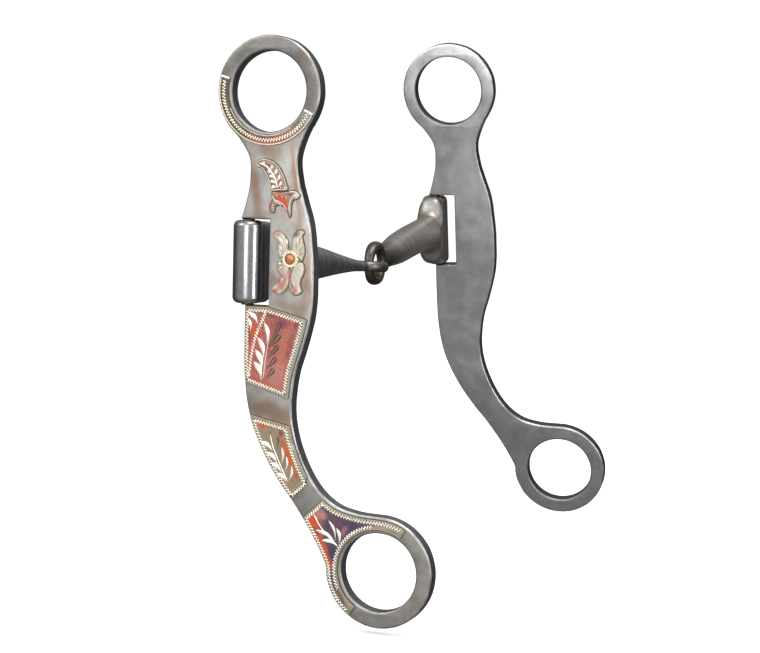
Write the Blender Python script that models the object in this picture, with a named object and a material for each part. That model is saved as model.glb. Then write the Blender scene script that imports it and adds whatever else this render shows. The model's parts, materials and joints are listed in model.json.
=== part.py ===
# Loose-jawed curb bit with a broken (jointed) mouthpiece, built as an assembly.
# World frame, metres: origin at the centre of the left headstall ring, +X towards the horse's
# rear, +Y across the mouth from the left cheek to the right one, +Z up along the left hinge post.
# Each cheek is drawn in its own frame: origin at the middle of its hinge post, X rearward, Z up.

import bpy
import bmesh
from math import copysign, cos, hypot, pi, radians, sin
from mathutils import Matrix, Vector

# ---- cheek plates ----
PLATE = 0.00475                 # thickness of the steel
EDGE_ROUND = 0.0007             # easing along both faces' edges
HEAD_REACH = 0.05104            # headstall ring's centre above the hinge post's middle
REIN_REACH = 0.09038            # rein ring's centre below it
HEAD_SETBACK = 0.00664          # headstall ring's centre behind the post
REIN_SWEEP = 0.04526            # rein ring's centre behind the post
HEAD_HOLE = 0.0120
HEAD_RADIUS = 0.0167
REIN_HOLE = 0.0118
REIN_RADIUS = 0.0169
SLOT_HEIGHT = 0.0259            # the window that the barrel turns in
SLOT_BACK = 0.0078              # its rear wall, behind the post's axis

# ---- hinge ----
POST_RADIUS = 0.0018
BORE_PLAY = 0.00035             # radial play of a barrel on its post
BARREL_PLAY = 0.00045           # gap at each end of a barrel
BARREL_LENGTH = SLOT_HEIGHT - 2 * BARREL_PLAY
BARREL_RADIUS = 0.0046
BARREL_ROUND = 0.0018
SEAT_GAP = 0.0003               # gap kept between pieces that touch
LEFT_DROP = 0.0                 # barrel's middle below its post's middle
RIGHT_DROP = 0.00015

# ---- canons, the two arms of the mouthpiece ----
LEFT_ARM = 0.0647               # left barrel's axis to its flat eye's centre
RIGHT_ARM = 0.07026             # right barrel's axis to its upright eye's outer limb
LEFT_DROOP = radians(3.2)       # how far off square the left arm leaves its barrel, downwards
RIGHT_RISE = radians(1.73)      # and the right arm, upwards
LEFT_ARCH = 0.0005              # an arm's rise above a straight line, halfway to its eye
RIGHT_ARCH = 0.0010
LINK_BAR = 0.0016               # radius of the bar of the right canon's upright eye
LINK_OPENING = (0.0044, 0.0042) # half its opening along the canon, and half its height
LINK_DEPTH = LINK_OPENING[0] + LINK_BAR         # half its centreline along the canon
LINK_HEIGHT = LINK_OPENING[1] + LINK_BAR        # half its centreline's height
LINK_SWELL = 0.0006             # the bar is this much broader at its top and its foot
EYE_SLACK = 0.0019              # play of the link's limb along the left canon's flat eye
EYE_PLAY = 0.0009               # and across it
EYE_HOLE = LINK_BAR + EYE_SLACK                 # half the hole's length
EYE_HOLE_WIDTH = LINK_BAR + EYE_PLAY            # and half its width
EYE_BAR = 0.0015                # half the width of the bar that forms it
EYE_BAR_HEIGHT = 0.0018         # and half its height

# ---- resting pose ----
LEFT_SWIVEL = radians(14.2)     # left canon turned to the rear
RIGHT_HEADING = radians(0.58)   # right canon turned to the front
RIGHT_LEAN = radians(10.42)     # right barrel leaning in at its top, because the joint sags
CHEEK_SWIVEL = radians(4.7)     # right cheek turned on its barrel
LINK_SET = 0.0014               # the upright limb lies this far from the flat eye's middle
LINK_SAG = 0.0001               # and the upright eye's middle this far below it

# ---- ornament, laid on the outer faces ----
INLAY = 0.0005                  # thickness of the panels and the ring band
OVERLAY = 0.0008                # thickness of the leaf and the flower
PANEL_FRONT = 0.0005            # plain margin in front of a panel
PANEL_REAR = 0.0011             # and behind it, where the plate's eased edge shows
BAND_INNER = 0.0130             # crescent band on the headstall ring
BAND_OUTER = 0.0161
BAND_START = radians(163)
BAND_END = radians(336)
FORK_RIM = 0.0130               # the fork panel's inner radius, round the rein hole
FORK_TOP = radians(58.3)        # the fork panel's two ends on the rein ring
FORK_FOOT = radians(-123)
FLOWER_SETBACK = 0.0073         # bead's centre behind the window's rear wall
FLOWER_RISE = 0.0015            # and above the post's middle
BEZEL_INNER = 0.0019            # setting round the bead
BEZEL_OUTER = 0.0026
BEZEL_HEIGHT = 0.0012
BEAD_RADIUS = 0.00155
BEAD_HEIGHT = 0.0011

# ---- fineness of the mesh ----
ARC_STEP = radians(10)
CURVE_STEPS = 2
ROUND_SIDES = 24
CANON_SIDES = 20
BAR_SIDES = 10

# Stations down the cheek. Above the window: the share of the way up to the headstall ring, the
# spine's distance behind the post, half the plate's width. Below the window: the share of the way
# down to the rein ring, how much of the ring's sweep the spine has taken, its further distance
# behind the post, half the width.
NECK = (
    (0.631, 0.00760, 0.01050),
    (0.474, 0.00858, 0.00790),
    (0.316, 0.00912, 0.00812),
    (0.159, 0.00948, 0.00943),
    (0.000, 0.00955, 0.01125),
)
JAW = ((0.0217, 0.29), (0.0225, -0.12))     # rear edge: behind the post, share of the window up
SHANK = (
    (0.020, 0.000, 0.01110, 0.01105),
    (0.149, 0.000, 0.00998, 0.00992),
    (0.262, 0.000, 0.00878, 0.00852),
    (0.381, 0.010, 0.00838, 0.00748),
    (0.478, 0.050, 0.00804, 0.00680),
    (0.595, 0.150, 0.00734, 0.00622),
    (0.695, 0.250, 0.00782, 0.00608),
)
# Where the shank runs into the rein ring, in ring radii from the ring's centre.
FORK_FRONT = ((-1.566, 0.969), (-1.217, 0.437))
FORK_REAR = ((-0.843, 1.128), (-0.430, 1.021))
HEAD_REAR = radians(-36)        # where the neck's edges leave the headstall ring
HEAD_FRONT = radians(228)

# Straight cuts across the shank that end the panels, front to rear: distance behind the post and
# the share of the way from the window to the rein ring.
UPPER_PANEL_TOP = ((-0.0010, 0.0047), (0.0079, 0.0030), (0.0240, 0.0549))
UPPER_PANEL_FOOT = ((0.0000, 0.2955), (0.0180, 0.3661))
LOWER_PANEL_TOP = ((0.0000, 0.4200), (0.0190, 0.4701))
LOWER_PANEL_FOOT = ((0.0130, 0.7613), (0.0250, 0.6225))
FORK_PANEL_TOP = ((0.0180, 0.8505), (0.0300, 0.7000))

# Leaf and its forked base: distance behind the post, share of the way up from the window to the
# ring's band.
LEAF = (
    (0.0034, 0.725), (0.0037, 0.784), (0.0056, 0.812), (0.0082, 0.794), (0.0103, 0.734),
    (0.0120, 0.621), (0.0131, 0.502), (0.0136, 0.421), (0.0110, 0.407), (0.0085, 0.407),
    (0.0077, 0.502), (0.0066, 0.612), (0.0050, 0.698),
)
FORKED_BASE = (
    (0.0086, 0.382), (0.0113, 0.382), (0.0140, 0.396), (0.0162, 0.405), (0.0177, 0.339),
    (0.0170, 0.302), (0.0155, 0.275), (0.0149, 0.184), (0.0149, 0.080), (0.0144, 0.030),
    (0.0137, 0.116), (0.0126, 0.180), (0.0110, 0.211), (0.0098, 0.180), (0.0094, 0.107),
    (0.0087, 0.093), (0.0079, 0.152), (0.0081, 0.225), (0.0088, 0.284),
)
FLOWER = (      # from the bead's centre: two petals up, two down
    (-0.0037, -0.0002), (-0.0040, 0.0022), (-0.0043, 0.0046), (-0.0058, 0.0068),
    (-0.0048, 0.0081), (-0.0029, 0.0079), (-0.0012, 0.0063), (0.0001, 0.0055),
    (0.0006, 0.0070), (0.0017, 0.0083), (0.0036, 0.0088), (0.0043, 0.0077),
    (0.0037, 0.0063), (0.0043, 0.0040), (0.0045, 0.0018), (0.0038, -0.0006),
    (0.0044, -0.0026), (0.0043, -0.0046), (0.0035, -0.0066), (0.0034, -0.0084),
    (0.0037, -0.0099), (0.0019, -0.0107), (0.0003, -0.0099), (-0.0006, -0.0079),
    (-0.0021, -0.0097), (-0.0043, -0.0106), (-0.0059, -0.0097), (-0.0052, -0.0082),
    (-0.0034, -0.0071), (-0.0025, -0.0058), (-0.0038, -0.0046), (-0.0042, -0.0030),
)

# A canon's half width and half height: from the barrel's axis outwards, then at shares of its
# length, then at distances back from the end of its length.
CANON_ROOT = (  # a squared block that narrows to the arm; its height is a share of the barrel's
    (0.0000, 0.0041, 0.900),
    (0.0030, 0.0048, 0.985),
    (0.0054, 0.0050, 0.965),
    (0.0068, 0.0050, 0.830),
    (0.0081, 0.0051, 0.640),
)
CANON_SHOULDER = (
    (0.0100, 0.0054, 0.0062),
    (0.0130, 0.0057, 0.0059),
)
LEFT_ROOT_POWER = 7             # superellipse power of the block; an oval's is 2
RIGHT_ROOT_POWER = 3.2
ROOT_BLOCK = 0.0054             # where the block starts to turn oval, and where it is one
ROOT_END = 0.0088
CANON_BODY = (
    (0.30, 0.0057, 0.0056),
    (0.44, 0.0056, 0.0055),
)
FLAT_TIP = (    # left canon: drawn out to a level neck
    (0.0300, 0.0053, 0.0051),
    (0.0270, 0.0050, 0.0046),
    (0.0200, 0.0042, 0.0034),
    (0.0140, 0.0035, 0.0025),
    (0.0100, 0.0033, 0.0020),
    (0.0060, 0.0035, 0.0018),
)
UPRIGHT_TIP = ( # right canon: full almost to its end
    (0.0280, 0.0053, 0.0052),
    (0.0225, 0.0049, 0.0046),
    (0.0190, 0.0042, 0.0041),
    (0.0160, 0.0032, 0.0038),
    (0.0135, 0.0022, 0.0034),
    (0.0120, 0.0013, 0.0027),
)


# ---- materials ----

def metal(name, colour, roughness):
    """A metal with this colour and roughness."""
    made = bpy.data.materials.new(name)
    made.use_nodes = True
    shader = made.node_tree.nodes["Principled BSDF"]
    shader.inputs["Base Color"].default_value = (*colour, 1.0)
    shader.inputs["Roughness"].default_value = roughness
    shader.inputs["Metallic"].default_value = 1.0
    made.diffuse_color = (*colour, 1.0)
    return made


# ---- outlines, as lists of (x, z) ----

def arc(centre, radius, start, end):
    """Points on a circle from one angle to another, either way round."""
    count = max(2, round(abs(end - start) / ARC_STEP))
    angles = [start + (end - start) * i / count for i in range(count + 1)]
    return [(centre[0] + radius * cos(a), centre[1] + radius * sin(a)) for a in angles]


def circle(centre, radius):
    return arc(centre, radius, 0.0, 2 * pi)[:-1]


def smooth(points, closed=False):
    """A curve through the points (centripetal Catmull-Rom, in any dimension). An open curve
    spends its first and last point on the direction at its ends."""
    knots = [Vector(p) for p in points]
    count = len(knots)
    spans = range(count) if closed else range(1, count - 2)
    curve = []
    for i in spans:
        p = [knots[(i + k - 1) % count] for k in range(4)]
        t = [0.0]
        for a, b in zip(p, p[1:]):
            t.append(t[-1] + (b - a).length ** 0.5)
        for k in range(CURVE_STEPS):
            u = t[1] + (t[2] - t[1]) * k / CURVE_STEPS
            a = [p[j].lerp(p[j + 1], (u - t[j]) / (t[j + 1] - t[j])) for j in range(3)]
            b = [a[j].lerp(a[j + 1], (u - t[j]) / (t[j + 2] - t[j])) for j in range(2)]
            curve.append(tuple(b[0].lerp(b[1], (u - t[1]) / (t[2] - t[1]))))
    if not closed:
        curve.append(tuple(knots[-2]))
    return curve


def inset(line, distance):
    """An open line moved to its right by a distance."""
    moved = []
    for i, (x, z) in enumerate(line):
        a = line[max(i - 1, 0)]
        b = line[min(i + 1, len(line) - 1)]
        length = hypot(b[0] - a[0], b[1] - a[1])
        moved.append((x + (b[1] - a[1]) / length * distance, z - (b[0] - a[0]) / length * distance))
    return moved


def clip(line, start, end):
    """The part of an open line that lies to the left of a straight cut."""
    def side(p):
        return ((end[0] - start[0]) * (p[1] - start[1])
                - (end[1] - start[1]) * (p[0] - start[0]))

    kept = []
    for a, b in zip(line, line[1:]):
        here, there = side(a), side(b)
        if here >= 0:
            kept.append(a)
        if (here >= 0) != (there >= 0):
            share = here / (here - there)
            kept.append((a[0] + (b[0] - a[0]) * share, a[1] + (b[1] - a[1]) * share))
    if side(line[-1]) >= 0:
        kept.append(line[-1])
    return kept


# ---- the cheek's edges ----

WINDOW_HEAD = SLOT_HEIGHT / 2
HEAD_CENTRE = (HEAD_SETBACK, HEAD_REACH)
REIN_CENTRE = (REIN_SWEEP, -REIN_REACH)


def above_window(share, top=HEAD_REACH):
    return WINDOW_HEAD + share * (top - WINDOW_HEAD)


def below_window(share):
    return -above_window(share, REIN_REACH)


def spine_edge(side):
    """Points down one edge of the neck and one edge of the shank: side is 1 rear, -1 front."""
    neck = [(x + side * half, above_window(share)) for share, x, half in NECK]
    shank = [(sweep * REIN_SWEEP + x + side * half, below_window(share))
             for share, sweep, x, half in SHANK]
    return neck, shank


def by_rein_ring(points):
    return [(REIN_SWEEP + x * REIN_RADIUS, -REIN_REACH + z * REIN_RADIUS) for x, z in points]


def rear_edge():
    """Down the rear, from the headstall ring to the top of the rein ring."""
    neck, shank = spine_edge(1)
    jaw = [(x, share * SLOT_HEIGHT) for x, share in JAW]
    ring_side = arc(HEAD_CENTRE, HEAD_RADIUS, 0.0, HEAD_REAR)[-2:]
    ring_top = arc(REIN_CENTRE, REIN_RADIUS, pi / 2, 0.0)[:2]
    return smooth(ring_side + neck + jaw + shank + by_rein_ring(FORK_REAR) + ring_top)


def lower_front_edge():
    """Down the front, from the window's foot to the left of the rein ring."""
    foot = [(SHANK[0][2] - SHANK[0][3], -WINDOW_HEAD + 0.002),
            (SHANK[0][2] - SHANK[0][3], -WINDOW_HEAD)]
    ring_left = arc(REIN_CENTRE, REIN_RADIUS, pi, 3 * pi / 2)[:2]
    return smooth(foot + spine_edge(-1)[1] + by_rein_ring(FORK_FRONT) + ring_left)


def upper_front_edge():
    """Down the front, from the headstall ring to the window's head."""
    neck = spine_edge(-1)[0]
    ring_side = arc(HEAD_CENTRE, HEAD_RADIUS, pi, HEAD_FRONT)[-2:]
    beyond = [(neck[-1][0] - 0.0004, WINDOW_HEAD - 0.002)]
    return smooth(ring_side + neck + beyond)


def cheek_outline():
    """The whole plate, clockwise, starting down the rear edge."""
    rein = arc(REIN_CENTRE, REIN_RADIUS, pi / 2, -pi)[1:-1]
    window = [(SLOT_BACK, -WINDOW_HEAD), (SLOT_BACK, WINDOW_HEAD)]
    head = arc(HEAD_CENTRE, HEAD_RADIUS, HEAD_FRONT, HEAD_REAR)[1:-1]
    return (rear_edge() + rein + lower_front_edge()[::-1] + window
            + upper_front_edge()[::-1] + head)


def cut_points(cut):
    return [(x, below_window(share)) for x, share in cut]


def shank_panel(top, foot):
    """The shank's face between two cuts, less its margins, clockwise."""
    top, foot = cut_points(top), cut_points(foot)
    rear = clip(inset(rear_edge(), PANEL_REAR), top[-1], top[-2])
    front = clip(inset(lower_front_edge(), -PANEL_FRONT), top[1], top[0])
    return (clip(rear, foot[0], foot[1]) + clip(front, foot[0], foot[1])[::-1]
            + top[1:-1])


def fork_panel():
    """The face where the shank opens round the rein hole, with one arm over it and one under."""
    top = cut_points(FORK_PANEL_TOP)
    rear = clip(inset(rear_edge(), PANEL_REAR), top[1], top[0])
    front = clip(inset(lower_front_edge(), -PANEL_FRONT), top[1], top[0])
    upper_arm = arc(REIN_CENTRE, REIN_RADIUS - PANEL_REAR, pi / 2, FORK_TOP)
    inner = arc(REIN_CENTRE, FORK_RIM, FORK_TOP, FORK_FOOT + 2 * pi)
    lower_arm = arc(REIN_CENTRE, REIN_RADIUS - PANEL_FRONT, FORK_FOOT + 2 * pi, pi)
    return rear[:-1] + upper_arm + inner + lower_arm[:-1] + front[::-1]


def ring_band():
    return (arc(HEAD_CENTRE, BAND_OUTER, BAND_START, BAND_END)
            + arc(HEAD_CENTRE, BAND_INNER, BAND_END, BAND_START))


def on_neck(points):
    """Points of the leaf's pieces, fitted between the window and the ring's band."""
    top = HEAD_REACH - BAND_OUTER
    return smooth([(x, above_window(share, top)) for x, share in points], closed=True)


# ---- meshes ----

def cleaned(mesh):
    """Joins the mesh's seams and points its faces outwards."""
    bm = bmesh.new()
    bm.from_mesh(mesh)
    bmesh.ops.remove_doubles(bm, verts=bm.verts, dist=1e-6)
    bmesh.ops.recalc_face_normals(bm, faces=bm.faces)
    bm.to_mesh(mesh)
    bm.free()
    return mesh


def evaluated(piece):
    """The mesh that an object's modifiers or curve settings make. The object is removed."""
    bpy.context.view_layer.update()
    graph = bpy.context.evaluated_depsgraph_get()
    mesh = bpy.data.meshes.new_from_object(piece.evaluated_get(graph))
    bpy.data.objects.remove(piece)
    return cleaned(mesh)


def scratch_object(data):
    piece = bpy.data.objects.new(data.name, data)
    bpy.context.scene.collection.objects.link(piece)
    return piece


def sheet_metal(loops, thickness, edge=0.0):
    """A plate in the XZ plane, centred on Y = 0, cut to closed loops of (x, z)."""
    curve = bpy.data.curves.new("outline", "CURVE")
    curve.dimensions = "2D"
    curve.fill_mode = "BOTH"
    curve.extrude = thickness / 2 - edge
    curve.bevel_depth = edge
    curve.bevel_resolution = 0
    curve.offset = -edge
    for loop in loops:
        spline = curve.splines.new("POLY")
        spline.points.add(len(loop) - 1)
        for point, (x, z) in zip(spline.points, loop):
            point.co = (x, z, 0.0, 1.0)
        spline.use_cyclic_u = True
    mesh = evaluated(scratch_object(curve))
    mesh.transform(Matrix.Rotation(pi / 2, 4, "X"))
    return mesh


def turned(profile):
    """A closed (radius, height) profile turned about Z."""
    bm = bmesh.new()
    verts = [bm.verts.new((radius, 0.0, height)) for radius, height in profile]
    edges = [bm.edges.new(pair) for pair in zip(verts, verts[1:] + verts[:1])]
    bmesh.ops.spin(bm, geom=verts + edges, cent=(0, 0, 0), axis=(0, 0, 1), angle=2 * pi,
                   steps=ROUND_SIDES, use_merge=True)
    bmesh.ops.remove_doubles(bm, verts=bm.verts, dist=1e-7)
    loose = [e for e in bm.edges if not e.link_faces]
    bmesh.ops.delete(bm, geom=loose, context="EDGES")
    mesh = bpy.data.meshes.new("turned")
    bm.to_mesh(mesh)
    bm.free()
    return cleaned(mesh)


def bent_bar(half_x, half_y, bar, bar_height, swell=0.0):
    """An oval bar bent into an ellipse that lies in the XY plane, taller by swell where it
    crosses the Y axis."""
    bm = bmesh.new()
    rings = []
    for i in range(ROUND_SIDES):
        turn = 2 * pi * i / ROUND_SIDES
        centre = Vector((half_x * cos(turn), half_y * sin(turn), 0.0))
        outward = Vector((half_y * cos(turn), half_x * sin(turn), 0.0)).normalized()
        ring = []
        for k in range(BAR_SIDES):
            lift = 2 * pi * k / BAR_SIDES
            height = bar_height + swell * sin(turn) ** 2
            ring.append(bm.verts.new(centre + bar * cos(lift) * outward
                                     + Vector((0, 0, height * sin(lift)))))
        rings.append(ring)
    for a, b in zip(rings, rings[1:] + rings[:1]):
        for k in range(BAR_SIDES):
            n = (k + 1) % BAR_SIDES
            bm.faces.new((a[k], b[k], b[n], a[n]))
    mesh = bpy.data.meshes.new("bar")
    bm.to_mesh(mesh)
    bm.free()
    return cleaned(mesh)


def signed_power(value, power):
    return copysign(abs(value) ** power, value)


def lofted(stations, length, arch, root_power):
    """A solid along +Y through stations of (distance, half width, half height), arched upwards
    between its start and a length. It is square in section at its start and oval after that."""
    bm = bmesh.new()
    rings = []
    for y, width, height in stations:
        lift = arch * sin(pi * min(max(y / length, 0.0), 1.0))
        oval = min(max((y - ROOT_BLOCK) / (ROOT_END - ROOT_BLOCK), 0.0), 1.0)
        power = 2 / (root_power + (2 - root_power) * oval)
        turns = [2 * pi * k / CANON_SIDES for k in range(CANON_SIDES)]
        rings.append([bm.verts.new((width * signed_power(cos(a), power), y,
                                    lift + height * signed_power(sin(a), power)))
                      for a in turns])
    for a, b in zip(rings, rings[1:]):
        for k in range(CANON_SIDES):
            n = (k + 1) % CANON_SIDES
            bm.faces.new((a[k], a[n], b[n], b[k]))
    bm.faces.new(rings[0])
    bm.faces.new(rings[-1])
    mesh = bpy.data.meshes.new("loft")
    bm.to_mesh(mesh)
    bm.free()
    return cleaned(mesh)


def combined(base, tools, operation):
    """One mesh from a base and its tools, by Boolean."""
    target = scratch_object(base)
    helpers = [scratch_object(tool) for tool in tools]
    for helper in helpers:
        helper.hide_render = True
        helper.display_type = "WIRE"
        boolean = target.modifiers.new("boolean", "BOOLEAN")
        boolean.operation = operation
        boolean.solver = "EXACT"
        boolean.object = helper
    mesh = evaluated(target)
    for helper in helpers:
        bpy.data.objects.remove(helper)
    return mesh


# ---- pieces ----

def barrel_mesh(radius, length, corner):
    """A solid cylinder about Z with rounded ends."""
    half = length / 2
    steps = 3
    top = [(radius - corner + corner * cos(a), half - corner + corner * sin(a))
           for a in (pi / 2 * i / steps for i in range(steps + 1))]
    profile = top + [(0.0, half), (0.0, -half)] + [(r, -h) for r, h in top[::-1]]
    return turned(profile)


def canon_mesh(length, arch, tip, eye, root_power):
    """The arm, along +Y from the barrel's axis, with its eye."""
    root = [(y, width, share * BARREL_LENGTH / 2) for y, width, share in CANON_ROOT]
    body = [(share * length, width, height) for share, width, height in CANON_BODY]
    end = [(length - back, width, height) for back, width, height in tip]
    stations = root + list(CANON_SHOULDER) + body + end
    first, last = Vector(stations[0]), Vector(stations[-1])
    before = first * 2 - Vector(stations[1])
    after = last * 2 - Vector(stations[-2])
    arm = lofted(smooth([before] + stations + [after]), last[0], arch, root_power)
    return combined(arm, [eye], "UNION")


def mounted_canon(arm, tilt, drop):
    """Sets the tilted arm on its barrel and bores the barrel for the post."""
    arm.transform(tilt)
    barrel = barrel_mesh(BARREL_RADIUS, BARREL_LENGTH, BARREL_ROUND)
    bore = barrel_mesh(POST_RADIUS + BORE_PLAY, BARREL_LENGTH * 2, 0.0001)
    whole = combined(combined(arm, [barrel], "UNION"), [bore], "DIFFERENCE")
    whole.transform(Matrix.Translation((0, 0, -drop)))
    return whole


def flat_eye():
    """The left canon's eye: a level oval ring round the end of its length."""
    mesh = bent_bar(EYE_HOLE_WIDTH + EYE_BAR, EYE_HOLE + EYE_BAR, EYE_BAR, EYE_BAR_HEIGHT)
    mesh.transform(Matrix.Translation((0, LEFT_ARM, 0)))
    return mesh


def upright_eye():
    """The right canon's eye: an upright link whose outer limb is at the end of its length."""
    mesh = bent_bar(LINK_DEPTH, LINK_HEIGHT, LINK_BAR, LINK_BAR, LINK_SWELL)
    upright = Matrix.Rotation(pi / 2, 4, "Z") @ Matrix.Rotation(pi / 2, 4, "X")
    mesh.transform(Matrix.Translation((0, RIGHT_ARM - LINK_DEPTH, 0)) @ upright)
    return mesh


def post_mesh():
    """The hinge post, welded at both ends of the window."""
    end = WINDOW_HEAD - SEAT_GAP
    return turned([(0.0, -end), (POST_RADIUS, -end), (POST_RADIUS, end), (0.0, end)])


def bead_mesh():
    rise = [(BEAD_RADIUS * cos(a), BEAD_HEIGHT * sin(a)) for a in (pi / 8 * i for i in range(4))]
    return turned([(0.0, 0.0)] + rise + [(0.0, BEAD_HEIGHT)])


def bezel_mesh():
    return turned([(BEZEL_INNER, 0.0), (BEZEL_OUTER, 0.0), (BEZEL_OUTER, BEZEL_HEIGHT * 0.6),
                   (BEZEL_INNER, BEZEL_HEIGHT)])


# ---- assembly ----

def add_piece(name, mesh, material, parent, matrix=Matrix.Identity(4)):
    """Puts a mesh into the scene under a frame, smooth over its soft edges."""
    piece = bpy.data.objects.new(name, mesh)
    bpy.context.scene.collection.objects.link(piece)
    piece.parent = parent
    piece.matrix_local = matrix
    mesh.materials.clear()
    mesh.materials.append(material)
    mesh.shade_smooth()
    mesh.set_sharp_from_angle(angle=radians(40))


def add_frame(name, parent, matrix):
    frame = bpy.data.objects.new(name, None)
    frame.empty_display_size = 0.01
    bpy.context.scene.collection.objects.link(frame)
    frame.parent = parent
    frame.matrix_local = matrix
    return frame


def add_cheek(prefix, frame, outward, metals):
    """One cheek with its post and ornament. Outward is -1 or 1, the side of Y it faces."""
    holes = [circle(HEAD_CENTRE, HEAD_HOLE), circle(REIN_CENTRE, REIN_HOLE)]
    plate = sheet_metal([cheek_outline()] + holes, PLATE, EDGE_ROUND)
    add_piece(prefix + "_cheek", plate, metals["steel"], frame)
    add_piece(prefix + "_hinge_post", post_mesh(), metals["dark_steel"], frame)

    flower_at = Vector((SLOT_BACK + FLOWER_SETBACK, FLOWER_RISE))
    petals = smooth([flower_at + Vector(p) for p in FLOWER], closed=True)
    bezel_seat = circle(flower_at, BEZEL_OUTER + SEAT_GAP)
    overlays = (
        ("ring_band", [ring_band()], INLAY, "silver"),
        ("leaf", [on_neck(LEAF)], OVERLAY, "silver"),
        ("leaf_base", [on_neck(FORKED_BASE)], OVERLAY, "copper"),
        ("flower", [petals, bezel_seat], OVERLAY, "silver"),
        ("upper_panel", [shank_panel(UPPER_PANEL_TOP, UPPER_PANEL_FOOT)], INLAY, "copper"),
        ("lower_panel", [shank_panel(LOWER_PANEL_TOP, LOWER_PANEL_FOOT)], INLAY, "copper"),
        ("fork_panel", [fork_panel()], INLAY, "copper"),
    )
    face = PLATE / 2 + SEAT_GAP
    for name, loops, thickness, finish in overlays:
        out = Matrix.Translation((0, outward * (face + thickness / 2), 0))
        add_piece(prefix + "_" + name, sheet_metal(loops, thickness), metals[finish], frame, out)

    seat = (Matrix.Translation((flower_at.x, outward * face, flower_at.y))
            @ Matrix.Rotation(-outward * pi / 2, 4, "X"))
    add_piece(prefix + "_bezel", bezel_mesh(), metals["silver"], frame, seat)
    add_piece(prefix + "_bead", bead_mesh(), metals["copper"], frame, seat)


def main():
    for old in list(bpy.data.objects):
        bpy.data.objects.remove(old)
    metals = {
        "steel": metal("browned_steel", (0.30, 0.28, 0.27), 0.38),
        "dark_steel": metal("sweet_iron", (0.16, 0.15, 0.14), 0.42),
        "silver": metal("engraved_silver", (0.78, 0.75, 0.68), 0.30),
        "copper": metal("engraved_copper", (0.62, 0.25, 0.17), 0.34),
    }

    cheek_place = Matrix.Translation((-HEAD_SETBACK, 0, -HEAD_REACH))
    left_turn = Matrix.Rotation(-LEFT_SWIVEL, 4, "Z")
    droop = Matrix.Rotation(-LEFT_DROOP, 4, "X")
    limb_seat = droop @ Vector((0, LEFT_ARM - LINK_SET, 0)) - Vector((0, 0, LEFT_DROP + LINK_SAG))
    joint = cheek_place @ left_turn @ limb_seat

    stance = Matrix.Rotation(RIGHT_HEADING, 4, "Z") @ Matrix.Rotation(RIGHT_LEAN, 4, "X")
    rise = Matrix.Rotation(pi, 4, "Z") @ Matrix.Rotation(RIGHT_RISE, 4, "X")
    limb = rise @ Vector((0, RIGHT_ARM, 0)) - Vector((0, 0, RIGHT_DROP))

    left_cheek = add_frame("left_cheek_frame", None, cheek_place)
    left_canon = add_frame("left_canon_frame", left_cheek, left_turn)
    joint_frame = add_frame("joint_frame", None, Matrix.Translation(joint))
    right_canon = add_frame("right_canon_frame", joint_frame,
                            stance @ Matrix.Translation(-limb))
    right_cheek = add_frame("right_cheek_frame", right_canon,
                            Matrix.Rotation(CHEEK_SWIVEL, 4, "Z"))

    add_cheek("left", left_cheek, -1, metals)
    left_arm = canon_mesh(LEFT_ARM, LEFT_ARCH, FLAT_TIP, flat_eye(), LEFT_ROOT_POWER)
    right_arm = canon_mesh(RIGHT_ARM, RIGHT_ARCH, UPRIGHT_TIP, upright_eye(), RIGHT_ROOT_POWER)
    add_piece("left_canon", mounted_canon(left_arm, droop, LEFT_DROP),
              metals["dark_steel"], left_canon)
    add_piece("right_canon", mounted_canon(right_arm, rise, RIGHT_DROP),
              metals["dark_steel"], right_canon)
    add_cheek("right", right_cheek, 1, metals)


main()
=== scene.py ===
# Loose-jawed curb bit: the finished surfaces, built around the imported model.
import json
from math import copysign, cos, hypot, pi, radians, sin

import bmesh
import bpy
from mathutils import Matrix, Vector, noise


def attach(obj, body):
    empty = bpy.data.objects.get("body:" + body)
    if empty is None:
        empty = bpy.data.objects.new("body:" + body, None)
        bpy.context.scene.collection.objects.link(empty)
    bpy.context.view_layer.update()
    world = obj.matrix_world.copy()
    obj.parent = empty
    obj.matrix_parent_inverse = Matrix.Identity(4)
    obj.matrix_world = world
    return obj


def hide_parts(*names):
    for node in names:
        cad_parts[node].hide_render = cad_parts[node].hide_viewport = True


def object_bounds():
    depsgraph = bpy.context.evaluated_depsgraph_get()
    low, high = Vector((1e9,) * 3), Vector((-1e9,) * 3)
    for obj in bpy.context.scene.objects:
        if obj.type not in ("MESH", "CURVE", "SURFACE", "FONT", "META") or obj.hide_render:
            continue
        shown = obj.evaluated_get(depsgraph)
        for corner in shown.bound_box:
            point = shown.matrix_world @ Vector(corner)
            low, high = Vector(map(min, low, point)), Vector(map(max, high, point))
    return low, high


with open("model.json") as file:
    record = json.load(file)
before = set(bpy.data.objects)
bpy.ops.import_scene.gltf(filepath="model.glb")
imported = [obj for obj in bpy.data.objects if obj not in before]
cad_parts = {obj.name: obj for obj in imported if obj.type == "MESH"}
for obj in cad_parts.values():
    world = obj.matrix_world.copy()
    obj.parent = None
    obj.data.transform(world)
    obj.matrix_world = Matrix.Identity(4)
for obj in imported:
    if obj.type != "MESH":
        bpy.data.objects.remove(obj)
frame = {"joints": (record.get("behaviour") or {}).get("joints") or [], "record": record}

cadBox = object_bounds()
scene = bpy.context.scene
mm = 0.001      # shapes below are drawn in millimetres

# where the bodies are
joints = {j["name"]: j for j in frame["joints"]}
mounts = {m["name"]: m for m in frame["record"]["mounts"]}


def frameAt(origin, up, across):
    # a body's own frame: Z up its hinge, Y along across, X to the rear
    z = Vector(up).normalized()
    y = Vector(across)
    y = (y - y.dot(z) * z).normalized()
    turn = Matrix((y.cross(z), y, z)).transposed()
    return Matrix.Translation(origin) @ turn.to_4x4()


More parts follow.
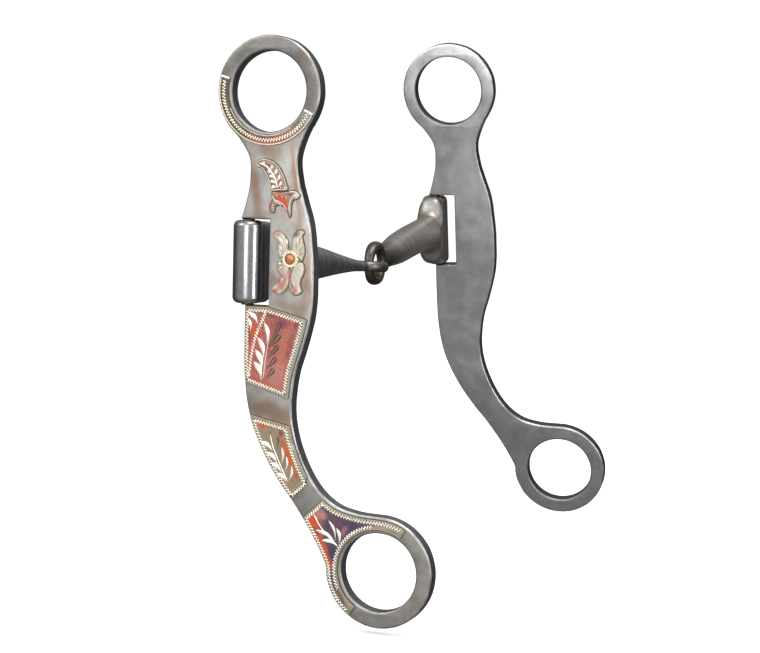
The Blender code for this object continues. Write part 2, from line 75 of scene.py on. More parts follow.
leftPost, rightPost = joints["left_swivel"], joints["right_swivel"]
limb = Vector(joints["mouth_fold"]["pos_m"])
bodyFrames = {
    "left_cheek": frameAt(leftPost["pos_m"], leftPost["axis"],
                          -Vector(mounts["left_headstall_ring_face"]["axis"])),
    "left_canon": frameAt(leftPost["pos_m"], leftPost["axis"], limb - Vector(leftPost["pos_m"])),
    "right_canon": frameAt(rightPost["pos_m"], rightPost["axis"],
                           limb - Vector(rightPost["pos_m"])),
    "right_cheek": frameAt(rightPost["pos_m"], rightPost["axis"],
                           mounts["right_headstall_ring_face"]["axis"]),
}
print("frames found:", ", ".join(bodyFrames))

# what a user would change
cheek = {
    "thickness": 4.75,
    "edge": 0.7,                    # rounding along both faces
    "headCentre": (6.64, 51.04),    # from the hinge post's middle: rearward, up
    "headHole": 12.0,
    "headRadius": 16.7,
    "reinCentre": (45.26, -90.38),
    "reinHole": 11.8,
    "reinRadius": 16.9,
    "windowHalf": 12.95,
    "windowBack": 7.8,
    "neck": ((0.631, 7.60, 10.50), (0.474, 8.58, 7.90), (0.316, 9.12, 8.12),
             (0.159, 9.48, 9.43), (0.000, 9.55, 11.25)),
    "jaw": ((21.7, 7.511), (22.5, -3.108)),
    "shank": ((0.020, 0.000, 11.10, 11.05), (0.149, 0.000, 9.98, 9.92),
              (0.262, 0.000, 8.78, 8.52), (0.381, 0.010, 8.38, 7.48),
              (0.478, 0.050, 8.04, 6.80), (0.595, 0.150, 7.34, 6.22),
              (0.695, 0.250, 7.82, 6.08)),
    "forkFront": ((-1.566, 0.969), (-1.217, 0.437)),
    "forkRear": ((-0.843, 1.128), (-0.430, 1.021)),
    "headRear": -36,
    "headFront": 228,
    "filed": 0.16,                  # how far the hand-filed outline strays inwards
}

overlays = {
    "rise": 0.42,                   # a panel above the plate's face
    "leafRise": 0.75,
    "sunk": 0.15,                   # an overlay's foot, below the plate's face
    "darkMark": 0.02,                   # and the foot of the dark line beside it
    "panelFront": 0.5,
    "panelRear": 1.1,
    "upperTop": ((-1.0, -13.31), (7.9, -13.18), (24.0, -17.20)),
    "upperFoot": ((0.0, -35.83), (18.0, -41.30)),
    "lowerTop": ((0.0, -45.47), (19.0, -49.35)),
    "lowerFoot": ((13.0, -71.90), (25.0, -61.15)),
    "forkTop": ((18.0, -78.80), (30.0, -67.15)),
    "bandInner": 13.0,
    "bandOuter": 16.1,
    "bandStart": 163,
    "bandEnd": 336,
    "forkRim": 13.0,
    "forkArmTop": 58.3,
    "forkArmFoot": 237,
    "bead": (15.1, 1.5),
}

overlayFoot = cheek["thickness"] / 2 - overlays["sunk"]
# the foot of the dark line drawn round each overlay at the plate's face
darkLineFoot = cheek["thickness"] / 2 - overlays["darkMark"]

wriggle = {"pitch": 0.92, "reach": 0.42, "width": 0.42, "returnCut": 0.55, "lift": 0.17}


# lines, as lists of (x, z)
def arc(centre, radius, start, end, step=3):
    count = max(2, round(abs(end - start) / step))
    turns = [radians(start + (end - start) * i / count) for i in range(count + 1)]
    return [(centre[0] + radius * cos(a), centre[1] + radius * sin(a)) for a in turns]


def circle(centre, radius, step=4):
    return arc(centre, radius, 0, 360, step)[:-1]


def smooth(points, closed=False, steps=6):
    # centripetal Catmull-Rom through the points, in two or three dimensions; an open line
    # spends its first and last point on its direction
    knots = [Vector(p) for p in points]
    count = len(knots)
    curve = []
    for i in (range(count) if closed else range(1, count - 2)):
        p = [knots[(i + k - 1) % count] for k in range(4)]
        t = [0.0]
        for a, b in zip(p, p[1:]):
            t.append(t[-1] + max((b - a).length, 1e-6) ** 0.5)
        for k in range(steps):
            u = t[1] + (t[2] - t[1]) * k / steps
            a = [p[j].lerp(p[j + 1], (u - t[j]) / (t[j + 1] - t[j])) for j in range(3)]
            b = [a[j].lerp(a[j + 1], (u - t[j]) / (t[j + 2] - t[j])) for j in range(2)]
            curve.append(tuple(b[0].lerp(b[1], (u - t[1]) / (t[2] - t[1]))))
    if not closed:
        curve.append(tuple(knots[-2]))
    return curve


def through(points, steps=6):
    # an open curve that starts and ends on its first and last point
    first, second = Vector(points[0]), Vector(points[1])
    last, before = Vector(points[-1]), Vector(points[-2])
    ends = [tuple(first * 2 - second)] + [tuple(p) for p in points] + [tuple(last * 2 - before)]
    return smooth(ends, steps=steps)


def inset(line, distance):
    # an open line moved to its right
    moved = []
    for i, (x, z) in enumerate(line):
        a, b = line[max(i - 1, 0)], line[min(i + 1, len(line) - 1)]
        length = max(hypot(b[0] - a[0], b[1] - a[1]), 1e-9)
        moved.append((x + (b[1] - a[1]) / length * distance, z - (b[0] - a[0]) / length * distance))
    return moved


def clip(line, start, end):
    # the part of an open line to the left of a straight cut
    def side(p):
        return (end[0] - start[0]) * (p[1] - start[1]) - (end[1] - start[1]) * (p[0] - start[0])

    kept = []
    for a, b in zip(line, line[1:]):
        here, there = side(a), side(b)
        if here >= 0:
            kept.append(a)
        if (here >= 0) != (there >= 0):
            share = here / (here - there)
            kept.append((a[0] + (b[0] - a[0]) * share, a[1] + (b[1] - a[1]) * share))
    if side(line[-1]) >= 0:
        kept.append(line[-1])
    return kept


def spaced(line, pitch, closed=False):
    # the same line with its points evenly spaced
    points = [Vector(p) for p in line]
    if closed:
        points.append(points[0])
    lengths = [0.0]
    for a, b in zip(points, points[1:]):
        lengths.append(lengths[-1] + (b - a).length)
    count = max(2, round(lengths[-1] / pitch))
    found, k = [], 0
    for i in range(count + (0 if closed else 1)):
        want = lengths[-1] * i / count
        while k < len(points) - 2 and lengths[k + 1] < want:
            k += 1
        span = max(lengths[k + 1] - lengths[k], 1e-9)
        found.append(points[k].lerp(points[k + 1], min((want - lengths[k]) / span, 1.0)))
    return found


# the cheek's outline
def aboveWindow(share):
    return cheek["windowHalf"] + share * (cheek["headCentre"][1] - cheek["windowHalf"])


def belowWindow(share):
    return -cheek["windowHalf"] + share * (cheek["reinCentre"][1] + cheek["windowHalf"])


def spineEdge(side):
    neck = [(x + side * half, aboveWindow(share)) for share, x, half in cheek["neck"]]
    shank = [(sweep * cheek["reinCentre"][0] + x + side * half, belowWindow(share))
             for share, sweep, x, half in cheek["shank"]]
    return neck, shank


def byReinRing(points):
    (x, z), radius = cheek["reinCentre"], cheek["reinRadius"]
    return [(x + a * radius, z + b * radius) for a, b in points]


def rearEdge():
    neck, shank = spineEdge(1)
    ringSide = arc(cheek["headCentre"], cheek["headRadius"], 0, cheek["headRear"], 10)[-2:]
    ringTop = arc(cheek["reinCentre"], cheek["reinRadius"], 90, 0, 10)[:2]
    return smooth(ringSide + neck + list(cheek["jaw"]) + shank + byReinRing(cheek["forkRear"])
                  + ringTop)


def lowerFrontEdge():
    x = cheek["shank"][0][2] - cheek["shank"][0][3]
    foot = [(x, -cheek["windowHalf"] + 2), (x, -cheek["windowHalf"])]
    ringLeft = arc(cheek["reinCentre"], cheek["reinRadius"], 180, 270, 10)[:2]
    return smooth(foot + spineEdge(-1)[1] + byReinRing(cheek["forkFront"]) + ringLeft)


def upperFrontEdge():
    neck = spineEdge(-1)[0]
    ringSide = arc(cheek["headCentre"], cheek["headRadius"], 180, cheek["headFront"], 10)[-2:]
    return smooth(ringSide + neck + [(neck[-1][0] - 0.4, cheek["windowHalf"] - 2)])


def filed(line):
    # the outline as a file left it, a little uneven
    moved = []
    for i, (x, z) in enumerate(line):
        a, b = line[i - 1], line[(i + 1) % len(line)]
        length = max(hypot(b[0] - a[0], b[1] - a[1]), 1e-9)
        stray = cheek["filed"] * (0.5 + 0.5 * noise.noise(Vector((x * 0.23, z * 0.23, 4.7))))
        moved.append((x + (b[1] - a[1]) / length * stray, z - (b[0] - a[0]) / length * stray))
    return moved


def cheekOutline():
    rein = arc(cheek["reinCentre"], cheek["reinRadius"], 90, -180)[1:-1]
    head = arc(cheek["headCentre"], cheek["headRadius"], cheek["headFront"], cheek["headRear"])[1:-1]
    back, half = cheek["windowBack"], cheek["windowHalf"]
    window = [(back, -half), (back, half)]
    lower, upper = lowerFrontEdge()[::-1], upperFrontEdge()[::-1]
    rear, front = filed(rearEdge() + rein + lower), filed(upper + head)
    return rear[:-1] + [lower[-1]] + window + [upper[0]] + front[1:]


def shankPanel(top, foot, front, rear):
    # the shank's face between two cuts, less its margins, clockwise
    rearLine = clip(inset(rearEdge(), rear), top[-1], top[-2])
    frontLine = clip(inset(lowerFrontEdge(), -front), top[1], top[0])
    return (clip(rearLine, foot[0], foot[1]) + clip(frontLine, foot[0], foot[1])[::-1]
            + list(top[1:-1]))


def shifted(cut, distance):
    # a straight cut moved square to itself, downwards for a positive distance
    return inset(list(cut), distance)


def forkPanel():
    centre, radius = cheek["reinCentre"], cheek["reinRadius"]
    top = overlays["forkTop"]
    rear = clip(inset(rearEdge(), overlays["panelRear"]), top[1], top[0])
    front = clip(inset(lowerFrontEdge(), -overlays["panelFront"]), top[1], top[0])
    upperArm = arc(centre, radius - overlays["panelRear"], 90, overlays["forkArmTop"])
    inner = arc(centre, overlays["forkRim"], overlays["forkArmTop"], overlays["forkArmFoot"])
    lowerArm = arc(centre, radius - overlays["panelFront"], overlays["forkArmFoot"], 180)
    return rear[:-1] + upperArm + inner + lowerArm[:-1] + front[::-1]


# meshes
bite = 0.06     # how far the foot of a raised cut is sunk in the face below it


def meshFrom(name, verts, faces):
    mesh = bpy.data.meshes.new(name)
    mesh.from_pydata([Vector(v) * mm for v in verts], [], faces)
    mesh.update()
    return mesh


def tidied(mesh, merge=1e-6):
    bm = bmesh.new()
    bm.from_mesh(mesh)
    bmesh.ops.remove_doubles(bm, verts=bm.verts, dist=merge)
    bmesh.ops.recalc_face_normals(bm, faces=bm.faces)
    bm.to_mesh(mesh)
    bm.free()
    return mesh


def settled(piece):
    # an object's mesh with its modifiers or curve settings applied; the object goes
    bpy.context.view_layer.update()
    graph = bpy.context.evaluated_depsgraph_get()
    mesh = bpy.data.meshes.new_from_object(piece.evaluated_get(graph))
    bpy.data.objects.remove(piece)
    return mesh


def loose(data):
    piece = bpy.data.objects.new(data.name, data)
    scene.collection.objects.link(piece)
    return piece


def sheet(loops, low, high, edge=0.0, rounds=2, side=-1):
    # a plate cut to closed loops of (x, z); low and high are distances from the cheek's
    # mid-plane, on the side given
    curve = bpy.data.curves.new("outline", "CURVE")
    curve.dimensions = "2D"
    curve.fill_mode = "BOTH"
    curve.extrude = (high - low) / 2 * mm - edge * mm
    curve.bevel_depth = edge * mm
    curve.bevel_resolution = rounds
    curve.offset = -edge * mm
    for loop in loops:
        spline = curve.splines.new("POLY")
        spline.points.add(len(loop) - 1)
        for point, p in zip(spline.points, loop):
            point.co = (p[0] * mm, p[1] * mm, 0.0, 1.0)
        spline.use_cyclic_u = True
    mesh = settled(loose(curve))
    mesh.transform(Matrix.Translation((0, side * (low + high) / 2 * mm, 0))
                   @ Matrix.Rotation(pi / 2, 4, "X"))
    return tidied(mesh)


def joined(name, meshes):
    bm = bmesh.new()
    for mesh in meshes:
        bm.from_mesh(mesh)
    made = bpy.data.meshes.new(name)
    bm.to_mesh(made)
    bm.free()
    return made


def flatBar(a, b, width, low, lift, side):
    # one cut of the graver: a bar of triangular section between two points
    a, b = Vector(a), Vector(b)
    along = (b - a).normalized()
    across = Vector((along.y, -along.x)) * width / 2
    verts = []
    for p, stretch in ((a, -0.15), (b, 0.15)):
        q = p + along * stretch * width
        for offset, height in ((across, 0.0), (-across, 0.0), (across * 0, lift)):
            verts.append((q.x + offset.x, side * (low + height), q.y + offset.y))
    return verts, [(0, 1, 4, 3), (1, 2, 5, 4), (2, 0, 3, 5), (0, 2, 1), (3, 4, 5)]


def gathered(name, parts):
    # many small (verts, faces) parts as one mesh
    verts, faces = [], []
    for v, f in parts:
        start = len(verts)
        verts += v
        faces += [tuple(i + start for i in face) for face in f]
    return tidied(meshFrom(name, verts, faces), 1e-9)


def wriggleCuts(line, low, side, closed=False, reach=None):
    # the zigzag border: the graver walked from side to side along a line
    reach = reach or wriggle["reach"]
    stops = spaced(line, wriggle["pitch"] / 2, closed)
    if closed and len(stops) % 2:
        stops = spaced(line, wriggle["pitch"] / 2 * len(stops) / (len(stops) + 1), True)
    count = len(stops)
    swung = []
    for i, p in enumerate(stops):
        if closed:
            a, b = stops[i - 1], stops[(i + 1) % count]
        else:
            a, b = stops[max(i - 1, 0)], stops[min(i + 1, count - 1)]
        along = (b - a).normalized()
        away = Vector((along.y, -along.x)) * reach * (1 if i % 2 else -1)
        swung.append(p + away)
    pairs = list(zip(swung, swung[1:])) + ([(swung[-1], swung[0])] if closed else [])
    parts = []
    for i, (a, b) in enumerate(pairs):
        strength = 0.85 + 0.3 * noise.noise(Vector((a.x * 1.7, a.y * 1.7, 0.3)))
        width = wriggle["width"] * (1.0 if i % 2 else wriggle["returnCut"]) * strength
        parts.append(flatBar(a, b, width, low, wriggle["lift"] * strength, side))
    return parts


def groove(line, low, side, closed=False, width=1.0):
    # the blackened strip that a wriggle runs in
    return ridge(line, width, low - bite, 0.09, side, closed, 3)


def ridge(line, width, low, lift, side, closed=False, rounds=4, taper=False):
    # a raised half-round line
    points = spaced(line, 0.5, closed)
    count = len(points)
    verts, faces = [], []
    for i, p in enumerate(points):
        if closed:
            a, b = points[i - 1], points[(i + 1) % count]
        else:
            a, b = points[max(i - 1, 0)], points[min(i + 1, count - 1)]
        along = (b - a).normalized()
        across = Vector((along.y, -along.x))
        share = i / (count - 1)
        full = min(1.0, 0.15 + 3.2 * sin(pi * share)) if taper and not closed else 1.0
        for k in range(rounds + 1):
            turn = pi * k / rounds
            q = p + across * cos(turn) * width / 2 * full
            verts.append((q.x, side * (low + lift * full * sin(turn)), q.y))
    ring = rounds + 1
    for i in range(count if closed else count - 1):
        n = (i + 1) % count
        for k in range(rounds):
            faces.append((i * ring + k, n * ring + k, n * ring + k + 1, i * ring + k + 1))
        faces.append((i * ring, i * ring + rounds, n * ring + rounds, n * ring))
    if not closed:
        faces.append(tuple(range(ring)))
        faces.append(tuple((count - 1) * ring + k for k in range(ring))[::-1])
    return verts, faces


def hemmed(outline, gap, width, low, lift, side):
    # a raised line all round a closed outline, gap inside it
    return ridge(inset(outline + outline[:1], gap), width, low, lift, side, True)


def blade(base, tip, width, low, lift, side, bend=0.12, club=0.62, hollow=False):
    # a bright-cut leaf: narrow at its base, fullest at club, with a ridge or a groove
    base, tip = Vector(base), Vector(tip)
    along = tip - base
    across = Vector((along.y, -along.x)).normalized()
    count = 12
    verts, faces = [], []
    for i in range(count + 1):
        t = i / count
        if t < club:
            rise = (t / club) ** (0.75 if hollow else 1.1)
        else:
            rise = 1.0 - ((t - club) / (1 - club)) ** 2.2
        half = width / 2 * max(rise, 0.04)
        middle = base + along * t + across * along.length * bend * sin(pi * t)
        heights = (0.0, -0.3 * lift, 0.0) if hollow else (0.0, lift * (0.35 + 0.65 * max(rise, 0)), 0.0)
        rim = lift * 0.35 if hollow else 0.0
        for offset, height in zip((-1, -0.12, 1), heights):
            q = middle + across * offset * half
            verts.append((q.x, side * (low + height + rim), q.y))
        for offset in (-1, 1):
            q = middle + across * offset * half
            verts.append((q.x, side * (low - bite), q.y))
    for i in range(count):
        a, b = i * 5, i * 5 + 5
        faces += [(a, a + 1, b + 1, b), (a + 1, a + 2, b + 2, b + 1)]
        faces += [(a + 3, a, b, b + 3), (a + 2, a + 4, b + 4, b + 2), (a + 4, a + 3, b + 3, b + 4)]
    faces.append((0, 3, 4, 2, 1))
    end = count * 5
    faces.append((end + 1, end + 2, end + 4, end + 3, end))
    return verts, faces


def turned(profile, sides=64):
    # a closed (radius, height) profile about Z, in millimetres
    bm = bmesh.new()
    verts = [bm.verts.new((r * mm, 0.0, h * mm)) for r, h in profile]
    edges = [bm.edges.new(pair) for pair in zip(verts, verts[1:] + verts[:1])]
    bmesh.ops.spin(bm, geom=verts + edges, cent=(0, 0, 0), axis=(0, 0, 1), angle=2 * pi,
                   steps=sides, use_merge=True)
    bmesh.ops.remove_doubles(bm, verts=bm.verts, dist=1e-8)
    bmesh.ops.delete(bm, geom=[e for e in bm.edges if not e.link_faces], context="EDGES")
    bmesh.ops.recalc_face_normals(bm, faces=bm.faces)
    mesh = bpy.data.meshes.new("turned")
    bm.to_mesh(mesh)
    bm.free()
    return mesh


# shader nodes
class Wire:     # a socket that can be used in sums
    def __init__(self, paint, socket):
        self.paint = paint
        self.socket = socket

    def __add__(self, other):
        return self.paint.maths("ADD", self, other)

    def __sub__(self, other):
        return self.paint.maths("SUBTRACT", self, other)

    def __rsub__(self, other):
        return self.paint.maths("SUBTRACT", other, self)

    def __mul__(self, other):
        return self.paint.maths("MULTIPLY", self, other)

    def __truediv__(self, other):
        return self.paint.maths("DIVIDE", self, other)

    def __rtruediv__(self, other):
        return self.paint.maths("DIVIDE", other, self)

    __radd__ = __add__
    __rmul__ = __mul__


class Board:    # a node tree and the ways to add to it
    def __init__(self, tree):
        self.tree = tree

    def feed(self, socket, value):
        if isinstance(value, Wire):
            self.tree.links.new(value.socket, socket)
        elif hasattr(socket.default_value, "__len__") and len(value) < len(socket.default_value):
            socket.default_value = (*value, 1.0)
        else:
            socket.default_value = value

    def node(self, kind, settings, values, out=0):
        made = self.tree.nodes.new("ShaderNode" + kind)
        for key, value in settings.items():
            setattr(made, key, value)
        for key, value in values.items():
            self.feed(made.inputs[key], value)
        return Wire(self, made.outputs[out]) if made.outputs else None

    def beside(self, wire, name):
        # another output of the same node
        return Wire(self, wire.socket.node.outputs[name])

    def axes(self, source):
        x = self.node("SeparateXYZ", {}, {0: source})
        return x, self.beside(x, "Y"), self.beside(x, "Z")

    def maths(self, operation, a, b=0.0):
        return self.node("Math", {"operation": operation}, {0: a, 1: b})

    def mix(self, share, a, b, way="MIX"):
        return self.node("Mix", {"data_type": "RGBA", "blend_type": way}, {0: share, 6: a, 7: b}, 2)

    def ramp(self, value, low, high, start=0.0, end=1.0, way="LINEAR"):
        return self.node("MapRange", {"interpolation_type": way},
                         {0: value, 1: low, 2: high, 3: start, 4: end})

    def fade(self, value, low, high):
        # 0 below low, 1 above high, eased between
        return self.ramp(value, low, high, way="SMOOTHSTEP")


class Paint(Board):     # one material and the nodes that make its look
    def __init__(self, name, metallic=1.0, shine=0.5):
        self.material = bpy.data.materials.new(name)
        self.material.use_nodes = True
        super().__init__(self.material.node_tree)
        self.shader = self.tree.nodes["Principled BSDF"]
        self.shader.inputs["Metallic"].default_value = metallic
        self.shader.inputs["Roughness"].default_value = shine
        self.place = self.node("TexCoord", {}, {}, "Object")
        self.facing = self.beside(self.place, "Normal")

    def millimetres(self):
        return [axis * 1000 for axis in self.axes(self.place)]

    def cloud(self, size, detail=4.0, rough=0.55, stretch=(1, 1, 1), seed=0.0):
        # noise whose features are about size millimetres across
        spread = [s / (size * mm) for s in stretch]
        moved = self.node("Mapping", {"vector_type": "POINT"},
                          {0: self.place, 1: (seed, seed, seed), 3: spread})
        return self.node("TexNoise", {"noise_dimensions": "3D"},
                         {"Vector": moved, "Scale": 1.0, "Detail": detail, "Roughness": rough})

    def bump(self, height, distance, strength=0.5):
        return self.node("Bump", {}, {"Height": height, "Distance": distance * mm,
                                      "Strength": strength})

    def finish(self, **values):
        for key, value in values.items():
            self.feed(self.shader.inputs[key.replace("_", " ")], value)
        return self.material

    def spot(self, x, z, centre, size, turn=0.0, soft=0.5):
        # 1 inside an oval in the plane of the cheek, in millimetres, fading over soft of its size
        a, b = cos(radians(turn)), sin(radians(turn))
        dx, dz = x - centre[0], z - centre[1]
        u = (dx * a + dz * b) / size[0]
        v = (dz * a - dx * b) / size[1]
        away = self.maths("SQRT", u * u + v * v)
        return 1 - self.fade(away, 1 - soft, 1 + soft)

    def spots(self, x, z, colour, marks, soft=0.5):
        # colours laid over one another in ovals
        for tint, centre, size, turn, strength in marks:
            colour = self.mix(self.spot(x, z, centre, size, turn, soft) * strength, colour, tint)
        return colour


neckStains = (      # brown stains on a cheek's face: centre, size, turn, strength
    ((3.0, 22.0), (1.5, 8.5), 8, 0.85), ((16.0, 25.0), (0.8, 9.0), 8, 0.9),
    ((6.5, 33.0), (3.0, 1.6), -30, 0.5),
    ((17.8, 13.0), (1.1, 6.0), -12, 0.55), ((20.0, -4.0), (1.2, 10.0), -4, 0.7),
    ((17.5, -13.6), (2.2, 2.2), 0, 0.6),
    ((12.5, -12.2), (3.0, 1.0), -10, 0.5), ((7.0, -43.5), (5.0, 2.4), -12, 0.5),
    ((14.0, -46.0), (3.0, 1.6), -12, 0.45),
)


def bareSteel(name, face, edge, wall, stain, ringTopLight, ringTopLightFrom, paintedTopHighlight=0.0):
    # browned steel: worn bright along its eased edges, with painted shade darkening its side walls and the
    # eased edges inside its holes; the ring-top tint is painted light that the headstall ring's face is
    # multiplied by above its height (painted shade below 1, a painted highlight above 1), and the last
    # argument paints a highlight on the ring's top edges
    paint = Paint(name)
    nx, ny, nz = paint.axes(paint.facing)
    px, py, pz = paint.millimetres()
    flat = paint.maths("ABSOLUTE", ny)
    onFace = paint.fade(flat, 0.86, 0.995)
    onWall = 1 - paint.fade(flat, 0.05, 0.45)
    # the eased edges inside the headstall and rein holes are painted dark: painted shade in place of the
    # highlight they would catch
    inHead = paint.spot(px, pz, cheek["headCentre"], (cheek["headHole"] + 0.9,) * 2, 0, 0.01)
    inRein = paint.spot(px, pz, cheek["reinCentre"], (cheek["reinHole"] + 0.9,) * 2, 0, 0.01)
    inside = paint.maths("MAXIMUM", inHead, inRein * 0.55)
    patches = paint.fade(paint.cloud(13, 3, 0.5, seed=3.1), 0.50, 0.66)
    grain = paint.cloud(0.55, 5, 0.7)
    sand = paint.cloud(0.22, 3, 0.7, seed=6.0)
    drawn = paint.cloud(0.9, 4, 0.65, (1, 1, 0.16), 8.0)
    mottle = paint.cloud(4.5, 5, 0.6, seed=1.7)
    faceColour = paint.mix(paint.fade(mottle, 0.32, 0.70), [c * 0.80 for c in face], face)
    faceColour = paint.mix(patches * 0.62, faceColour, stain)
    faceColour = paint.spots(px, pz, faceColour, [(stain, *mark) for mark in neckStains], 0.8)
    faceColour = paint.mix(paint.fade(grain, 0.55, 0.8) * 0.30, faceColour, [c * 0.6 for c in face])
    # painted light: the headstall ring's top face darkened as painted shade on the near cheek, brightened
    # as a painted highlight on the far
    ringTopLightMask = paint.fade(pz, ringTopLightFrom, ringTopLightFrom + 9)
    faceColour = paint.mix(ringTopLightMask, faceColour, ringTopLight, "MULTIPLY")
    foot = (1 - paint.fade(pz, -60, -50) * 0.62) * (1 - paint.fade(pz, -7, -2))
    faceColour = paint.mix(foot, faceColour, (0.68, 0.665, 0.655), "MULTIPLY")
    faceColour = paint.mix(paint.fade(sand, 0.60, 0.75) * 0.30, faceColour,
                           [min(1, c * 1.35) for c in face])
    # side walls painted darker than the face as painted shade, darker still in the neck and by half above
    # it
    wallColour = paint.mix(paint.fade(drawn, 0.35, 0.7), [c * 0.72 for c in wall], wall)
    inNeck = paint.spot(px, pz, (14.0, 22.0), (9.0, 9.0), 0, 0.5)
    neckWallShade = paint.maths("MAXIMUM", inNeck, paint.fade(pz, 33, 42) * 0.5)
    wallColour = paint.mix(neckWallShade, wallColour, [c * 0.35 for c in wall])
    # painted highlight: the ring's top edges painted near white where the last argument is 1
    top = paint.fade(pz, 52, 66) * paintedTopHighlight
    edgeColour = paint.mix(paint.fade(mottle, 0.3, 0.62), [c * 0.5 for c in edge], edge)
    edgeColour = paint.mix(inside, edgeColour, [c * 1.1 for c in wall])
    edgeColour = paint.mix(top, edgeColour, (0.95, 0.95, 0.95))
    colour = paint.mix(onFace, edgeColour, faceColour)
    colour = paint.mix(onWall, colour, wallColour)
    rough = 0.34 + (mottle - 0.5) * 0.20 + grain * 0.10
    rough = rough + onWall * 0.06
    height = grain * 0.5 + drawn * 0.5 + mottle * 0.9 + sand * 0.3
    return paint.finish(Base_Color=colour, Roughness=rough, Normal=paint.bump(height, 0.10, 0.45))


def polishedSteel():
    # the left barrel: buffed, with drawn scratches and old brown at its front
    paint = Paint("polishedBarrel")
    x, y, z = paint.millimetres()
    scratch = paint.cloud(0.35, 4, 0.7, (1, 1, 0.05))
    darkMark = paint.cloud(1.6, 5, 0.65, (1, 1, 0.5), 2.0)
    old = 1 - paint.fade(x, -4.55, -3.7)
    ends = paint.fade(paint.maths("ABSOLUTE", z), 9.6, 12.0)
    colour = paint.mix(paint.fade(darkMark, 0.45, 0.72) * 0.55, (0.50, 0.505, 0.52), (0.34, 0.30, 0.28))
    colour = paint.mix(ends * 0.55, colour, (0.30, 0.27, 0.20))
    colour = paint.mix(old * 0.85, colour, (0.42, 0.27, 0.10))
    rough = 0.13 + scratch * 0.16 + paint.fade(darkMark, 0.5, 0.8) * 0.14 + ends * 0.10
    return paint.finish(Base_Color=colour, Roughness=rough,
                        Normal=paint.bump(scratch + darkMark * 0.6, 0.03, 0.35))


def mouthIron(name, base, warm, tip, tipFrom):
    # sweet iron: dark and smooth from use, with turned rings that have nearly worn away
    paint = Paint(name)
    x, y, z = paint.millimetres()
    worn = paint.cloud(6, 4, 0.55)
    fine = paint.cloud(0.5, 5, 0.7, (1, 0.5, 1))
    rings = paint.node("TexNoise", {"noise_dimensions": "1D"},
                       {"W": y * 0.62, "Scale": 1.0, "Detail": 2.0})
    colour = paint.mix(paint.fade(worn, 0.42, 0.68), base, warm)
    colour = paint.mix(paint.fade(rings, 0.54, 0.64) * 0.55, colour, [min(c * 2.1, 0.6) for c in base])
    colour = paint.mix(paint.fade(fine, 0.5, 0.8) * 0.4, colour, [c * 0.5 for c in base])
    colour = paint.mix(paint.fade(y + (worn - 0.5) * 6, tipFrom - 5, tipFrom + 5), colour,
                       paint.mix(paint.fade(fine, 0.4, 0.7), tip, [c * 0.6 for c in tip]))
    rough = 0.27 + worn * 0.16 + fine * 0.12
    return paint.finish(Base_Color=colour, Roughness=rough,
                        Normal=paint.bump(rings + fine * 0.4 + worn, 0.12, 0.45))


def brightCut(name, colour, dull, metallic=0.55, rough=0.26):
    # silver where the graver has just passed, dull in its hollows
    paint = Paint(name, metallic)
    tarnish = paint.cloud(1.1, 4, 0.6)
    grain = paint.cloud(0.25, 3, 0.6)
    mixed = paint.mix(paint.fade(tarnish, 0.54, 0.74) * 0.55, colour, dull)
    return paint.finish(Base_Color=mixed, Roughness=rough + tarnish * 0.14,
                        Normal=paint.bump(grain, 0.03, 0.35))


def painted(name, ground, spots, metallic=0.72, rough=0.34, speckle=0.30):
    # copper or silver sheet coloured by heat: oval patches over a ground colour
    paint = Paint(name, metallic)
    x, y, z = paint.millimetres()
    ripple = paint.cloud(2.2, 3, 0.6)
    drift = paint.cloud(2.6, 3, 0.6, seed=9.0)
    fine = paint.cloud(0.33, 5, 0.7, seed=5.0)
    x, z = x + (ripple - 0.5) * 2.2, z + (drift - 0.5) * 2.2
    colour = paint.mix(paint.fade(ripple, 0.35, 0.7) * 0.45, ground, [c * 0.72 for c in ground])
    colour = paint.spots(x, z, colour, spots)
    colour = paint.mix(paint.fade(fine, 0.49, 0.64) * speckle, colour, [c * 0.50 for c in ground])
    flecks = paint.cloud(0.45, 4, 0.7, seed=13.0)
    colour = paint.mix(paint.fade(flecks, 0.54, 0.66) * speckle * 0.8, colour,
                       [min(c * 1.5 + 0.12, 0.9) for c in ground])
    return paint.finish(Base_Color=colour, Roughness=rough + fine * 0.16,
                        Normal=paint.bump(fine + ripple * 0.7, 0.05, 0.45))


# colours that several finishes share
salmon, brick, flame = (0.50, 0.165, 0.115), (0.37, 0.095, 0.075), (0.62, 0.105, 0.03)
plum, slate, rose = (0.17, 0.065, 0.10), (0.065, 0.060, 0.105), (0.50, 0.235, 0.215)
khaki, olive, cream = (0.32, 0.245, 0.155), (0.21, 0.185, 0.11), (0.72, 0.68, 0.56)
silverGrey = (0.36, 0.355, 0.33)

